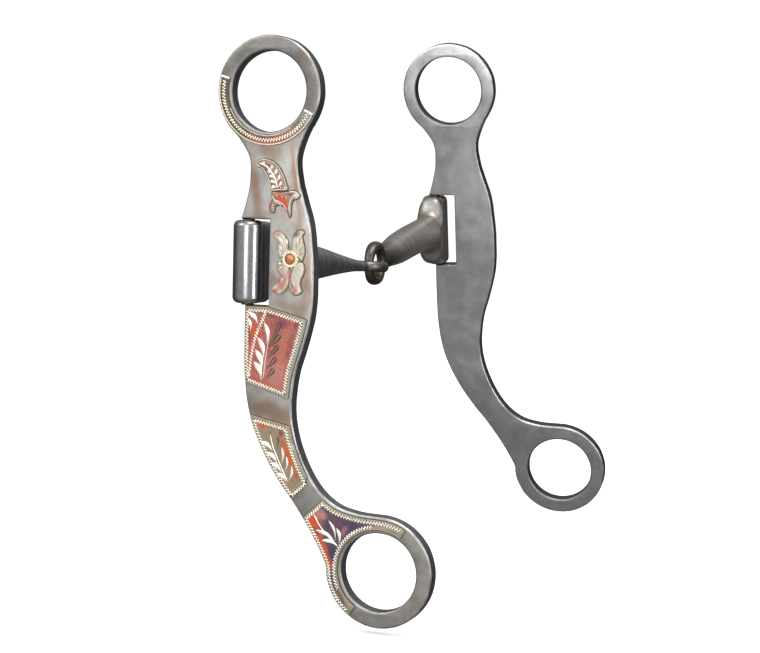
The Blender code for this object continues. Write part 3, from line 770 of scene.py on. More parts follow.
print("making finishes")
finishes = {
    # one steel tinted apart for each cheek as painted light: the far cheek's face darker and its walls
    # much darker as painted shade, its ring top brighter as a painted highlight
    "nearSteel": bareSteel("nearSteel", (0.72, 0.695, 0.66), (0.60, 0.61, 0.62), (0.31, 0.315, 0.32),
                           (0.43, 0.27, 0.18), (0.47, 0.465, 0.455), 33),
    "farSteel": bareSteel("farSteel", (0.56, 0.56, 0.565), (0.62, 0.63, 0.64), (0.14, 0.143, 0.148),
                          (0.44, 0.42, 0.41), (1.6, 1.6, 1.6), 46, 1.0),
    "barrel": polishedSteel(),
    "leftIron": mouthIron("leftIron", (0.29, 0.295, 0.30), (0.32, 0.30, 0.285), (0.22, 0.20, 0.185), 58),
    "rightIron": mouthIron("rightIron", (0.40, 0.39, 0.365), (0.46, 0.39, 0.33), (0.17, 0.145, 0.12), 52),
    "bright": brightCut("brightCut", (0.90, 0.88, 0.82), (0.50, 0.45, 0.34), 0.58, 0.22),
    "pearl": brightCut("creamPearl", (0.66, 0.60, 0.45), (0.36, 0.29, 0.17), 0.35),
    "wriggle": brightCut("wriggleCut", (0.85, 0.82, 0.72), (0.45, 0.40, 0.28), 0.35),
    "rim": brightCut("tarnishedRim", (0.42, 0.38, 0.25), (0.17, 0.15, 0.09), 0.75, 0.34),
    "creamRim": brightCut("creamRim", (0.58, 0.52, 0.38), (0.26, 0.22, 0.12), 0.55, 0.30),
    # also used for the painted shade lines beside the flower's bright cuts
    "dark": brightCut("blackenedCutAndPaintedShade", (0.065, 0.060, 0.047), (0.03, 0.027, 0.023), 0.4, 0.42),
    "bead": painted("copperBead", (0.42, 0.155, 0.055),
                    [((0.60, 0.28, 0.13), (15.6, 2.0), (0.8, 0.6), 0, 0.6)], 0.5, 0.28, 0.25),
    "band": painted("ringBand", (0.125, 0.100, 0.060), [
        (salmon, (7.5, 36.3), (6.5, 2.6), 4, 0.95), (flame, (10.5, 36.4), (3.0, 0.8), 12, 0.35),
        (silverGrey, (19.5, 44.0), (3.0, 3.2), 0, 0.8), (slate, (6.0, 37.4), (3.0, 0.6), 0, 0.5),
        (rose, (15.5, 39.2), (3.0, 2.0), 35, 0.6)]),
    "leafPlate": painted("leafPlate", (0.30, 0.17, 0.14), [
        (rose, (9.6, 25.2), (1.2, 3.0), 25, 0.7), (brick, (11.2, 22.8), (0.7, 1.8), 20, 0.6),
        (plum, (5.4, 29.4), (0.9, 0.5), 30, 0.6), (olive, (8.0, 22.5), (0.8, 2.2), 12, 0.5)], 0.6, 0.3),
    "leafBase": painted("leafBase", (0.40, 0.30, 0.22), [
        (flame, (11.9, 18.6), (1.6, 2.6), 40, 0.95), (flame, (13.2, 15.9), (0.7, 1.8), 15, 0.8),
        (plum, (15.0, 20.9), (1.8, 0.6), 0, 0.8), (salmon, (8.4, 17.2), (0.7, 1.0), 0, 0.9),
        (cream, (16.6, 20.2), (0.9, 0.9), 0, 0.8), (rose, (16.0, 21.3), (0.9, 0.5), 0, 0.7)], 0.7, 0.28),
    "flower": painted("flowerPetals", (0.60, 0.55, 0.45), [
        (rose, (10.6, 8.8), (1.5, 0.8), -25, 0.85), (plum, (16.6, 9.2), (1.5, 0.9), 25, 0.9),
        (rose, (14.9, 6.0), (0.9, 1.4), 0, 0.6), (olive, (18.6, 4.6), (0.7, 1.7), 0, 0.6),
        (olive, (12.0, -0.8), (1.0, 1.0), 0, 0.6), (salmon, (12.6, -6.0), (1.2, 2.2), -35, 0.95),
        (flame, (13.4, -5.2), (0.6, 1.4), -30, 0.6), (brick, (10.2, -8.2), (0.9, 0.8), 0, 0.8),
        (salmon, (15.0, -3.0), (0.7, 1.6), 0, 0.9), (rose, (16.2, -7.6), (1.3, 1.4), 0, 0.95),
        (salmon, (11.6, 5.4), (0.4, 2.0), 25, 0.7),
        (rose, (12.0, -4.0), (2.2, 2.4), -20, 0.7), (plum, (10.4, 2.6), (1.2, 0.5), -30, 0.6),
        (brick, (17.6, 6.6), (0.4, 1.6), -35, 0.7),
        (plum, (15.7, -5.6), (0.5, 1.4), 15, 0.6), (flame, (16.6, -8.5), (0.8, 0.4), 0, 0.6)], 0.55, 0.26),
    "upper": painted("upperField", (0.46, 0.15, 0.11), [
        (salmon, (13.5, -27.0), (2.4, 10.0), -12, 0.9), (plum, (12.6, -18.0), (2.6, 1.6), 0, 0.75),
        (brick, (10.0, -19.4), (1.8, 2.4), 0, 0.6), (rose, (11.5, -33.5), (3.0, 3.4), 0, 0.75),
        (rose, (7.6, -30.0), (0.9, 3.4), 0, 0.7), (flame, (3.4, -20.6), (0.9, 1.9), -20, 0.9),
        (plum, (2.0, -22.0), (0.6, 2.4), 0, 0.9), (flame, (2.6, -25.6), (0.6, 1.4), 0, 0.7),
        (olive, (4.6, -15.2), (2.2, 0.7), -5, 0.9), (plum, (4.4, -30.4), (0.5, 0.9), 0, 0.7),
        (plum, (17.2, -18.2), (0.8, 1.2), 0, 0.7), (flame, (5.0, -23.0), (0.8, 2.0), -20, 0.5),
        (plum, (15.6, -24.0), (1.0, 5.0), -12, 0.5), (plum, (9.6, -15.6), (3.4, 0.8), -8, 0.7),
        (brick, (8.9, -25.4), (0.7, 1.4), 0, 0.7)], 0.68, 0.36, 0.50),
    "lower": painted("lowerField", khaki, [
        (flame, (6.7, -49.0), (1.4, 0.8), -15, 0.95), (flame, (15.6, -57.2), (7.2, 0.75), -64, 1.0),
        (plum, (13.2, -50.8), (0.9, 1.0), 0, 0.8), (brick, (18.5, -63.5), (0.8, 1.1), 0, 0.7),
        (olive, (12.6, -54.0), (1.0, 2.4), 10, 0.6), (rose, (14.5, -66.4), (1.8, 0.8), 40, 0.5)],
        0.62, 0.36),
    "fork": painted("forkField", (0.13, 0.09, 0.12), [
        (flame, (24.4, -77.0), (2.6, 2.2), -50, 1.0), (rose, (26.6, -74.2), (2.2, 1.6), -30, 0.95),
        (flame, (28.4, -85.6), (5.4, 0.9), -66, 1.0), (slate, (31.0, -85.4), (1.5, 2.0), 0, 0.95),
        (slate, (36.0, -77.4), (3.4, 1.6), -10, 0.85), (plum, (32.8, -77.2), (1.6, 2.4), 20, 0.7),
        (rose, (34.2, -78.6), (0.8, 1.8), -35, 0.5), (flame, (26.6, -81.0), (1.3, 1.0), -60, 0.8),
        (slate, (28.9, -77.4), (0.8, 1.4), 0, 0.6)], 0.66, 0.36),
    "panelSilver": painted("panelSilver", (0.33, 0.30, 0.235), [
        (salmon, (10.0, -14.6), (7.0, 0.55), -12, 0.85),
        (silverGrey, (17.6, -28.0), (1.0, 12.0), -12, 0.8),
        (salmon, (11.0, -48.3), (5.0, 0.6), -13, 0.6), (salmon, (44.0, -75.2), (6.0, 0.8), 0, 0.8),
        (rose, (45.5, -77.3), (5.0, 0.5), 0, 0.6), (plum, (33.6, -98.6), (0.9, 3.4), 30, 0.8),
        (slate, (31.2, -93.0), (0.7, 2.4), 0, 0.6), (cream, (17.0, -55.0), (0.7, 6.0), -62, 0.6)],
        0.7, 0.34),
}


# pieces
steel = {"left": "nearSteel", "right": "farSteel"}


def place(name, mesh, finish, body, replaces=(), angle=35):
    # sets a finished mesh on its body
    piece = bpy.data.objects.new(name, mesh)
    scene.collection.objects.link(piece)
    mesh.materials.clear()
    mesh.materials.append(finishes[finish])
    mesh.shade_smooth()
    mesh.set_sharp_from_angle(angle=radians(angle))
    piece.matrix_world = bodyFrames[body]
    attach(piece, body)
    if replaces:
        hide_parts(*replaces)
    return piece


def trim(hand, label, parts, finish):
    # many small raised parts of one cheek as one piece
    place(f"{hand}_{label}", gathered(label, parts), finish, hand + "_cheek")


def makePlate(hand, side):
    body = hand + "_cheek"
    holes = [circle(cheek["headCentre"], cheek["headHole"]),
             circle(cheek["reinCentre"], cheek["reinHole"])]
    half = cheek["thickness"] / 2
    mesh = sheet([cheekOutline()] + holes, -half, half, cheek["edge"], 4, side)
    place(hand + "_plate", mesh, steel[hand], body, [body], 50)


post = {"radius": 1.8, "length": 25.9, "weld": 0.3}     # weld is the fillet at each end


def makePost(hand):
    end, radius, weld = post["length"] / 2, post["radius"], post["weld"]
    profile = [(0, -end), (radius + weld, -end), (radius + weld / 3, -end + weld / 3),
               (radius, -end + weld), (radius, end - weld), (radius + weld / 3, end - weld / 3),
               (radius + weld, end), (0, end)]
    body = hand + "_cheek"
    place(hand + "_post", turned(profile, 40), steel[hand], body, [hand + "_hinge_post"])


def makeBand(hand, side):
    # crescent on the headstall ring
    body, centre = hand + "_cheek", cheek["headCentre"]
    low, high = overlayFoot, cheek["thickness"] / 2 + overlays["rise"]
    start, end = overlays["bandStart"], overlays["bandEnd"]
    inner, outer = overlays["bandInner"], overlays["bandOuter"]
    outline = arc(centre, outer, start, end) + arc(centre, inner, end, start)
    place(hand + "_band", sheet([outline], low, high, 0.16, 2, side), "band", body, [hand + "_ring_band"])
    line = arc(centre, (inner + outer) / 2 - 0.05, start + 4, end - 3, 1)
    cuts = wriggleCuts(line, high, side, reach=0.46)
    for turn in (start + 0.9, end - 0.9):
        ends = [arc(centre, r, turn, turn + 1)[0] for r in (inner + 0.15, outer - 0.15)]
        cuts.append(ridge(ends, 0.62, high, 0.22, side))
    trim(hand, "band_cuts", cuts, "wriggle")
    darkLines = [groove(line, high, side, width=1.15),
            hemmed(outline, -0.08, 0.34, darkLineFoot, 0.07, side)]
    trim(hand, "band_grooves", darkLines, "dark")
    rims = [ridge(arc(centre, outer - 0.28, start + 3, end - 3, 2), 0.5, high - 0.05, 0.24, side),
            ridge(arc(centre, inner + 0.22, start + 40, end - 30, 2), 0.34, high - 0.05, 0.2, side)]
    trim(hand, "band_rims", rims, "creamRim")


leafShape = {
    "outline": ((3.4, 28.9), (3.7, 30.2), (5.6, 30.85), (8.2, 30.5), (10.3, 29.1), (12.0, 26.6),
                (13.1, 23.9), (13.6, 22.1), (11.0, 21.8), (8.5, 21.8), (7.7, 23.9), (6.6, 26.4),
                (5.0, 28.3)),
    "spine": ((4.5, 29.6), (6.5, 28.9), (8.3, 27.2), (9.6, 25.2), (10.5, 22.4)),
    "leaflets": (((10.4, 22.6), (8.3, 22.5)), ((10.2, 23.6), (7.9, 24.4)), ((9.7, 25.0), (7.5, 26.0)),
                 ((8.8, 26.6), (6.9, 27.3)), ((10.5, 22.8), (11.6, 24.4)), ((10.0, 24.4), (11.0, 26.4)),
                 ((9.1, 26.2), (10.0, 28.1)), ((7.9, 27.8), (8.5, 29.2)), ((6.2, 29.0), (5.2, 29.7))),
}

forkedBase = {
    "outline": ((8.6, 21.2), (11.3, 21.2), (14.0, 21.5), (16.2, 21.7), (17.7, 20.3), (17.0, 19.5),
                (15.5, 18.9), (14.9, 16.9), (14.9, 14.8), (14.4, 13.7), (13.7, 15.5), (12.6, 16.9),
                (11.0, 17.5), (9.8, 16.9), (9.4, 15.3), (8.7, 15.0), (7.9, 16.2), (8.1, 17.8),
                (8.8, 19.1)),
    "rims": (((16.9, 21.2), (15.3, 20.0), (14.4, 18.0), (14.3, 15.2)),
             ((13.9, 21.2), (15.3, 21.5), (16.9, 21.1), (17.3, 20.4)),
             ((8.7, 20.4), (9.3, 19.0), (11.0, 18.5), (12.6, 17.4), (13.6, 15.6)),
             ((9.0, 18.7), (10.6, 18.1), (12.0, 17.2))),
    "flames": (((11.2, 18.4), (9.7, 20.9)), ((12.3, 17.9), (11.2, 20.9)), ((13.2, 17.4), (12.9, 20.8))),
    "pearls": ((9.0, 17.3), (8.9, 16.5)),
}


def makeLeaf(hand, side):
    body = hand + "_cheek"
    low = overlayFoot
    high = cheek["thickness"] / 2 + overlays["leafRise"] - 0.28
    outline = smooth(leafShape["outline"], True)
    place(hand + "_feather", sheet([outline], low, high, 0.22, 3, side), "leafPlate", body,
          [hand + "_leaf"])
    rim = [hemmed(outline, 0.18, 0.42, high - 0.1, 0.26, side)]
    trim(hand, "feather_rim", rim, "creamRim")
    shape = smooth(forkedBase["outline"], True)
    darkLines = [hemmed(line, -0.10, 0.4, darkLineFoot, 0.08, side) for line in (outline, shape)]
    darkLines.append(hemmed(outline, 0.44, 0.24, high - 0.04, 0.07, side))
    darkLines += [ridge(inset(through(line), 0.26), 0.24, high - 0.05, 0.16, side, taper=True)
             for line in forkedBase["rims"]]
    trim(hand, "feather_grooves", darkLines, "dark")
    beads = []
    for p in spaced(inset(outline[:48], 0.78), 0.62):
        half = Vector((0.22, 0.14))
        beads.append(blade(p - half, p + half, 0.36, high, 0.16, side, 0, 0.5))
    for base, tip in leafShape["leaflets"]:
        beads.append(blade(base, tip, 0.95, high, 0.24, side, 0.12))
    beads.append(ridge(through(leafShape["spine"]), 0.5, high, 0.26, side, taper=True))
    trim(hand, "feather_cuts", beads, "bright")

    place(hand + "_forked_base", sheet([shape], low, high, 0.40, 4, side), "leafBase", body,
          [hand + "_leaf_base"])
    rims = [ridge(through(line), 0.34, high - 0.08, 0.24, side, taper=True) for line in forkedBase["rims"]]
    rims += [blade((x, z - 0.45), (x, z + 0.45), 0.7, high - 0.05, 0.22, side, 0, 0.5)
             for x, z in forkedBase["pearls"]]
    rims += [blade(base, tip, 0.42, high - 0.02, 0.16, side, 0.1) for base, tip in forkedBase["flames"]]
    trim(hand, "forked_base_cuts", rims, "bright")


flowerShape = {     # each petal's outline, from the bead's centre
    "petals": (
        ((-0.6, 2.2), (-1.3, 3.4), (-1.0, 5.2), (-1.8, 6.6), (-3.4, 7.9), (-5.0, 8.0), (-5.9, 6.8),
         (-4.8, 5.6), (-4.0, 4.6), (-4.3, 3.2), (-3.8, 2.0), (-3.8, 0.2), (-2.4, 0.8)),
        ((0.4, 2.4), (0.3, 4.4), (0.6, 6.6), (1.5, 8.0), (3.4, 8.7), (4.3, 8.0), (3.6, 6.8), (4.1, 5.0),
         (4.5, 2.6), (4.2, 0.8), (3.6, -0.5), (2.4, 0.8)),
        ((2.4, -1.0), (3.8, -0.9), (4.5, -2.6), (4.2, -4.4), (3.4, -6.2), (3.3, -8.0), (3.8, -9.5),
         (2.6, -10.5), (0.8, -10.3), (-0.3, -8.6), (-0.1, -6.2), (0.5, -4.0), (1.0, -2.4)),
        ((-2.4, -1.0), (-4.0, -1.0), (-4.2, -2.8), (-3.6, -4.2), (-2.6, -5.4), (-3.6, -7.0),
         (-5.3, -8.2), (-5.9, -9.4), (-4.6, -10.5), (-2.4, -9.9), (-0.9, -8.2), (-0.3, -6.2), (-0.2, -4.0),
         (-0.8, -2.4)),
    ),
    "cuts": (((-1.6, 2.2), (-4.9, 7.2), 0.9), ((-2.4, 1.6), (-4.0, 4.3), 0.9),
             ((-0.9, 2.8), (-2.2, 6.6), 0.7),
             ((-2.6, 0.6), (-3.9, 2.4), 0.7), ((1.2, 2.4), (2.3, 7.4), 0.9), ((2.0, 2.0), (3.7, 5.8), 0.8),
             ((2.5, 1.2), (4.1, 3.6), 0.7), ((2.5, 0.2), (4.0, 1.2), 0.6),
             ((2.2, -1.6), (4.2, -3.0), 0.7), ((1.9, -2.0), (3.8, -4.9), 0.6),
             ((1.6, -2.4), (2.9, -6.6), 0.6),
             ((0.9, -5.4), (1.6, -8.2), 0.7), ((2.2, -7.4), (3.2, -9.8), 0.6),
             ((-2.2, -1.5), (-3.9, -1.7), 0.7), ((-1.9, -2.0), (-3.7, -3.4), 0.8),
             ((-1.4, -4.6), (-2.9, -7.4), 0.6),
             ((-3.2, -8.2), (-5.1, -9.2), 0.5)),
    "centre": ((0.0, -2.6), (0.0, -5.2), 1.1),
}


seat = {            # the setting round the bead, and the bead
    "inner": 1.72, "outer": 2.62, "rise": 1.15,
    "scallops": 14, "pearl": 0.42, "pearlIn": 0.38, "pearlUp": 0.62,
    "bead": 1.66, "beadWall": 0.5, "beadDome": 0.95,
}


def fromBead(points):
    x, z = overlays["bead"]
    return [(x + a, z + b) for a, b in points]


def makeFlower(hand, side):
    body = hand + "_cheek"
    low = overlayFoot
    high = cheek["thickness"] / 2 + overlays["leafRise"] - 0.2
    petals = [sheet([smooth(fromBead(p), True)], low, high, 0.42, 4, side) for p in flowerShape["petals"]]
    petals.append(gathered("stamen", [blade(*fromBead(flowerShape["centre"][:2]), 1.3, high - 0.3, 0.3,
                                            side, 0)]))
    place(hand + "_petals", joined("petals", petals), "flower", body, [hand + "_flower"])
    cuts = [blade(*fromBead((base, tip)), width, high - 0.04, 0.2, side, 0.1)
            for base, tip, width in flowerShape["cuts"]]
    trim(hand, "petal_cuts", cuts, "bright")
    outlines = [smooth(fromBead(p), True) for p in flowerShape["petals"]]
    # dark lines round each petal at the plate's face, then a dark line along one side of each bright cut
    # as painted shade beside the cut
    darkLines = [ridge(inset(line, -0.10), 0.42, darkLineFoot, 0.08, side, True) for line in outlines]
    for base, tip, width in flowerShape["cuts"]:
        a, b = [Vector(p) for p in fromBead((base, tip))]
        along = (b - a).normalized()
        beside = Vector((along.y, -along.x)) * (width * 0.5 + 0.08)
        darkLines.append(ridge([a + beside, b + beside * 0.7], 0.26, high - 0.05, 0.14, side, taper=True))
    trim(hand, "petal_dark_lines_and_shade", darkLines, "dark")
    rims = [ridge(inset(line, 0.14), 0.24, high - 0.16, 0.2, side, True) for line in outlines]
    trim(hand, "petal_rims", rims, "rim")

    x, z = overlays["bead"]
    stand = (Matrix.Translation((x * mm, side * (low + 0.1) * mm, z * mm))
             @ Matrix.Rotation(-side * pi / 2, 4, "X"))
    ring = turned([(seat["inner"], 0.0), (seat["outer"] - 0.1, 0.0),
                   (seat["outer"] - 0.25, seat["rise"] * 0.7),
                   (seat["inner"] + 0.35, seat["rise"]), (seat["inner"], seat["rise"] * 0.9)])
    parts = [ring]
    for i in range(seat["scallops"]):
        turn = 2 * pi * i / seat["scallops"]
        ball = bmesh.new()
        bmesh.ops.create_uvsphere(ball, u_segments=14, v_segments=8, radius=seat["pearl"] * mm)
        grain = bpy.data.meshes.new("pearl")
        ball.to_mesh(grain)
        ball.free()
        reach, up = (seat["outer"] - seat["pearlIn"]) * mm, seat["rise"] * seat["pearlUp"] * mm
        grain.transform(Matrix.Translation((reach * cos(turn), reach * sin(turn), up)))
        parts.append(grain)
    setting = joined("setting", parts)
    setting.transform(stand)
    place(hand + "_setting", setting, "pearl", body, [hand + "_bezel"])
    bead, wall, domed = seat["bead"], seat["beadWall"], seat["beadDome"]
    rise = [(bead * cos(radians(a)), wall + domed * sin(radians(a))) for a in range(0, 90, 10)]
    stone = turned([(0.0, 0.0), (bead, 0.0)] + rise + [(0.0, wall + domed)], 48)
    stone.transform(stand)
    place(hand + "_copper_bead", stone, "bead", body, [hand + "_bead"])


upperShape = {
    "divider": ((7.4, -14.6), (6.2, -17.6), (4.8, -20.6), (3.6, -24.6), (2.8, -29.0), (2.2, -34.6)),
    "white": (((7.8, -24.6), (7.0, -17.8), 1.5), ((6.8, -29.2), (4.9, -22.4), 1.7),
              ((6.4, -32.6), (4.2, -26.2), 1.9),
              ((6.3, -35.2), (3.8, -29.8), 2.0), ((4.9, -18.4), (1.8, -15.1), 1.6),
              ((2.4, -21.0), (1.5, -16.6), 1.1)),
    "dark": (((8.6, -24.6), (12.4, -17.2), 1.6), ((8.6, -25.2), (12.5, -21.2), 1.65),
             ((8.1, -28.6), (11.9, -24.3), 1.6),
             ((7.8, -31.8), (11.2, -28.1), 1.6), ((7.6, -35.0), (10.6, -31.4), 1.6)),
    "stem": ((8.9, -21.5), (8.2, -25.0), (7.5, -29.5), (7.0, -35.0)),
}

lowerShape = {
    "stem": ((9.6, -51.4), (10.6, -55.0), (12.4, -59.0), (14.2, -62.6), (15.8, -65.6)),
    "white": (((10.7, -56.8), (6.5, -53.9), 1.5), ((12.3, -60.4), (8.5, -57.0), 1.5),
              ((13.8, -63.0), (10.0, -60.2), 1.5),
              ((15.2, -65.5), (12.0, -63.2), 1.5), ((13.3, -60.6), (13.4, -55.0), 0.9),
              ((14.6, -62.8), (15.0, -57.6), 0.8),
              ((15.8, -65.4), (16.9, -60.6), 0.95)),
    "dark": (((12.0, -55.6), (12.3, -51.9), 0.8), ((13.35, -57.6), (13.5, -54.6), 0.65),
             ((15.0, -60.8), (15.1, -57.2), 0.65),
             ((16.4, -63.0), (16.9, -60.3), 0.7), ((9.7, -52.4), (9.6, -50.9), 0.5)),
}

forkShape = {
    "stem": ((24.3, -74.4), (26.2, -77.4), (28.8, -80.4), (32.6, -83.6)),
    "white": (((32.2, -83.4), (25.2, -79.2), 1.3), ((32.4, -83.6), (27.2, -82.2), 1.2),
              ((31.6, -81.8), (29.3, -76.0), 1.0),
              ((32.8, -83.0), (31.9, -78.0), 1.2), ((25.6, -76.9), (24.5, -74.9), 0.5)),
    "dark": (((30.5, -79.6), (29.5, -76.8), 0.5), ((32.3, -80.8), (32.0, -78.7), 0.55),
             ((29.0, -82.9), (27.7, -82.3), 0.5)),
}


def makePanel(hand, side, label, base, field, borders, art, fieldFinish):
    # one engraved panel: its sheet, coloured field, wriggle borders and bright-cut sprig
    body = hand + "_cheek"
    low = overlayFoot
    high = cheek["thickness"] / 2 + overlays["rise"]
    place(f"{hand}_{label}_sheet", sheet([base], low, high, 0.14, 2, side), "panelSilver", body,
          [f"{hand}_{label}_panel"])
    place(f"{hand}_{label}_field", sheet([field], high - 0.1, high + 0.05, 0.0, 0, side), fieldFinish,
          body, ())
    top = high + 0.03
    cuts, darkLines = [], [hemmed(base, -0.08, 0.34, darkLineFoot, 0.07, side)]
    for line, closed in borders:
        cuts += wriggleCuts(line, top, side, closed)
        darkLines.append(groove(line, top, side, closed))
    trim(hand, label + "_grooves", darkLines, "dark")
    trim(hand, label + "_borders", cuts, "wriggle")
    sprig = [blade(a, b, width, top, 0.27, side) for a, b, width in art["white"]]
    sprig.append(ridge(through(art["stem"]), 0.34 if label != "upper" else 0.22, top, 0.14, side,
                       taper=True))
    trim(hand, label + "_sprig", sprig, "bright")
    shade = [blade(a, b, width, top, 0.15, side, 0.04, 0.78, hollow=True) for a, b, width in art["dark"]]
    trim(hand, label + "_shade", shade, "dark")
    rim = [hemmed(base, 0.16, 0.3, high - 0.06, 0.16, side)]
    trim(hand, label + "_rim", rim, "rim")


def makePanels(hand, side):
    front, rear = overlays["panelFront"], overlays["panelRear"]
    upperTop, upperFoot = overlays["upperTop"], overlays["upperFoot"]
    base = shankPanel(upperTop, upperFoot, front, rear)
    field = shankPanel(shifted(upperTop, 1.15), shifted(upperFoot, -0.95), front + 0.85, rear + 1.5)
    makePanel(hand, side, "upper", base, field, [(field, True), (through(upperShape["divider"]), False)],
              upperShape, "upper")

    lowerTop, lowerFoot = overlays["lowerTop"], overlays["lowerFoot"]
    base = shankPanel(lowerTop, lowerFoot, front, rear - 0.3)
    field = shankPanel(shifted(lowerTop, 1.2), shifted(lowerFoot, 1.0), front + 0.9, rear + 1.2)
    makePanel(hand, side, "lower", base, field, [(field, True)], lowerShape, "lower")

    centre, radius, top = cheek["reinCentre"], cheek["reinRadius"], overlays["forkTop"]
    cut = shifted(top, 0.9)
    rearLine = clip(inset(rearEdge(), rear + 0.9), cut[1], cut[0])
    frontLine = clip(inset(lowerFrontEdge(), -front - 0.85), cut[1], cut[0])
    outer = rearLine[:-1] + arc(centre, radius - rear - 0.9, 90, 62)
    inner = arc(centre, overlays["forkRim"] + 1.0, 98, 206)
    lowerArm = frontLine + arc(centre, radius - front - 0.85, 190, 233)
    field = rearLine[:-1] + inner + arc(centre, radius - front - 0.85, 206, 190) + frontLine[::-1]
    across = [frontLine[0], rearLine[0]]
    makePanel(hand, side, "fork", forkPanel(), field,
              [(outer, False), (inner, False), (lowerArm, False), (across, False)], forkShape, "fork")


# mouthpiece
canons = {
    "left_canon": {
        "drop": 0.0, "length": 64.7, "rootPower": 7, "slope": -3.2, "arch": 0.5,
        "forgedIn": False,      # the barrel is a turned sleeve, and the arm stands against it
        "soften": 9,
        "tip": ((30, 5.3, 5.1), (27, 5.0, 4.6), (20, 4.2, 3.4), (14, 3.5, 2.5), (10, 3.3, 2.0),
                (6, 3.5, 1.8)),
    },
    "right_canon": {
        "drop": 0.15, "length": 70.26, "rootPower": 3.2, "slope": 1.73, "arch": 1.0,
        "forgedIn": True,
        "soften": 30,
        "tip": ((28, 5.3, 5.2), (22.5, 4.9, 4.6), (19, 4.2, 4.1), (16, 3.2, 3.8), (13.5, 2.2, 3.4),
                (12, 1.3, 2.7)),
    },
}

mouth = {
    # distance from the barrel's axis, half width, and half height as a share of the barrel's
    "root": ((0, 4.1, 0.900), (3, 4.8, 0.985), (5.4, 5.0, 0.965), (6.8, 5.0, 0.830), (8.1, 5.1, 0.640)),
    "shoulder": ((10, 5.4, 6.2), (13, 5.7, 5.9)),
    "body": ((0.30, 5.7, 5.6), (0.44, 5.6, 5.5)),
    "rootBlock": 5.4, "rootEnd": 8.8,
    "eyeHole": 3.5, "eyeHoleWidth": 2.5, "eyeBar": 1.5, "eyeBarHeight": 1.8,
    "linkBar": 1.6, "linkDepth": 6.0, "linkHeight": 5.8, "linkSwell": 0.6,
    "barrelRadius": 4.6, "barrelLength": 25.0, "barrelRound": 1.8, "bore": 2.15, "boreEased": 0.3,
    "voxel": 0.21,
}


def armMesh(spec):
    # the tapered arm along +Y, arched between barrel and eye
    tall = mouth["barrelLength"] / 2
    stations = [(y, w, share * tall) for y, w, share in mouth["root"]] + list(mouth["shoulder"])
    stations += [(share * spec["length"], w, h) for share, w, h in mouth["body"]]
    stations += [(spec["length"] - back, w, h) for back, w, h in spec["tip"]]
    first, last = Vector(stations[0]), Vector(stations[-1])
    line = smooth([first * 2 - Vector(stations[1])] + stations + [last * 2 - Vector(stations[-2])],
                  steps=5)
    sides = 48
    verts, faces = [], []
    for y, width, height in line:
        lift = spec["arch"] * sin(pi * min(max(y / last[0], 0), 1))
        oval = min(max((y - mouth["rootBlock"]) / (mouth["rootEnd"] - mouth["rootBlock"]), 0), 1)
        power = 2 / (spec["rootPower"] + (2 - spec["rootPower"]) * oval)
        for k in range(sides):
            turn = 2 * pi * k / sides
            u, v = copysign(abs(cos(turn)) ** power, cos(turn)), copysign(abs(sin(turn)) ** power,
                                                                          sin(turn))
            verts.append((width * u, y, lift + height * v))
    for i in range(len(line) - 1):
        for k in range(sides):
            n = (k + 1) % sides
            faces.append((i * sides + k, i * sides + n, (i + 1) * sides + n, (i + 1) * sides + k))
    faces.append(tuple(range(sides)))
    faces.append(tuple((len(line) - 1) * sides + k for k in range(sides)))
    return tidied(meshFrom("arm", verts, faces))


def bentBar(halfX, halfY, bar, barHeight, swell=0.0, around=72, sides=20):
    verts, faces = [], []
    for i in range(around):
        turn = 2 * pi * i / around
        height = barHeight + swell * sin(turn) ** 2
        centre = Vector((halfX * cos(turn), halfY * sin(turn), 0))
        outward = Vector((halfY * cos(turn), halfX * sin(turn), 0)).normalized()
        for k in range(sides):
            lift = 2 * pi * k / sides
            verts.append(centre + bar * cos(lift) * outward + Vector((0, 0, height * sin(lift))))
    for i in range(around):
        for k in range(sides):
            n, j = (k + 1) % sides, (i + 1) % around
            faces.append((i * sides + k, j * sides + k, j * sides + n, i * sides + n))
    return tidied(meshFrom("bar", verts, faces))


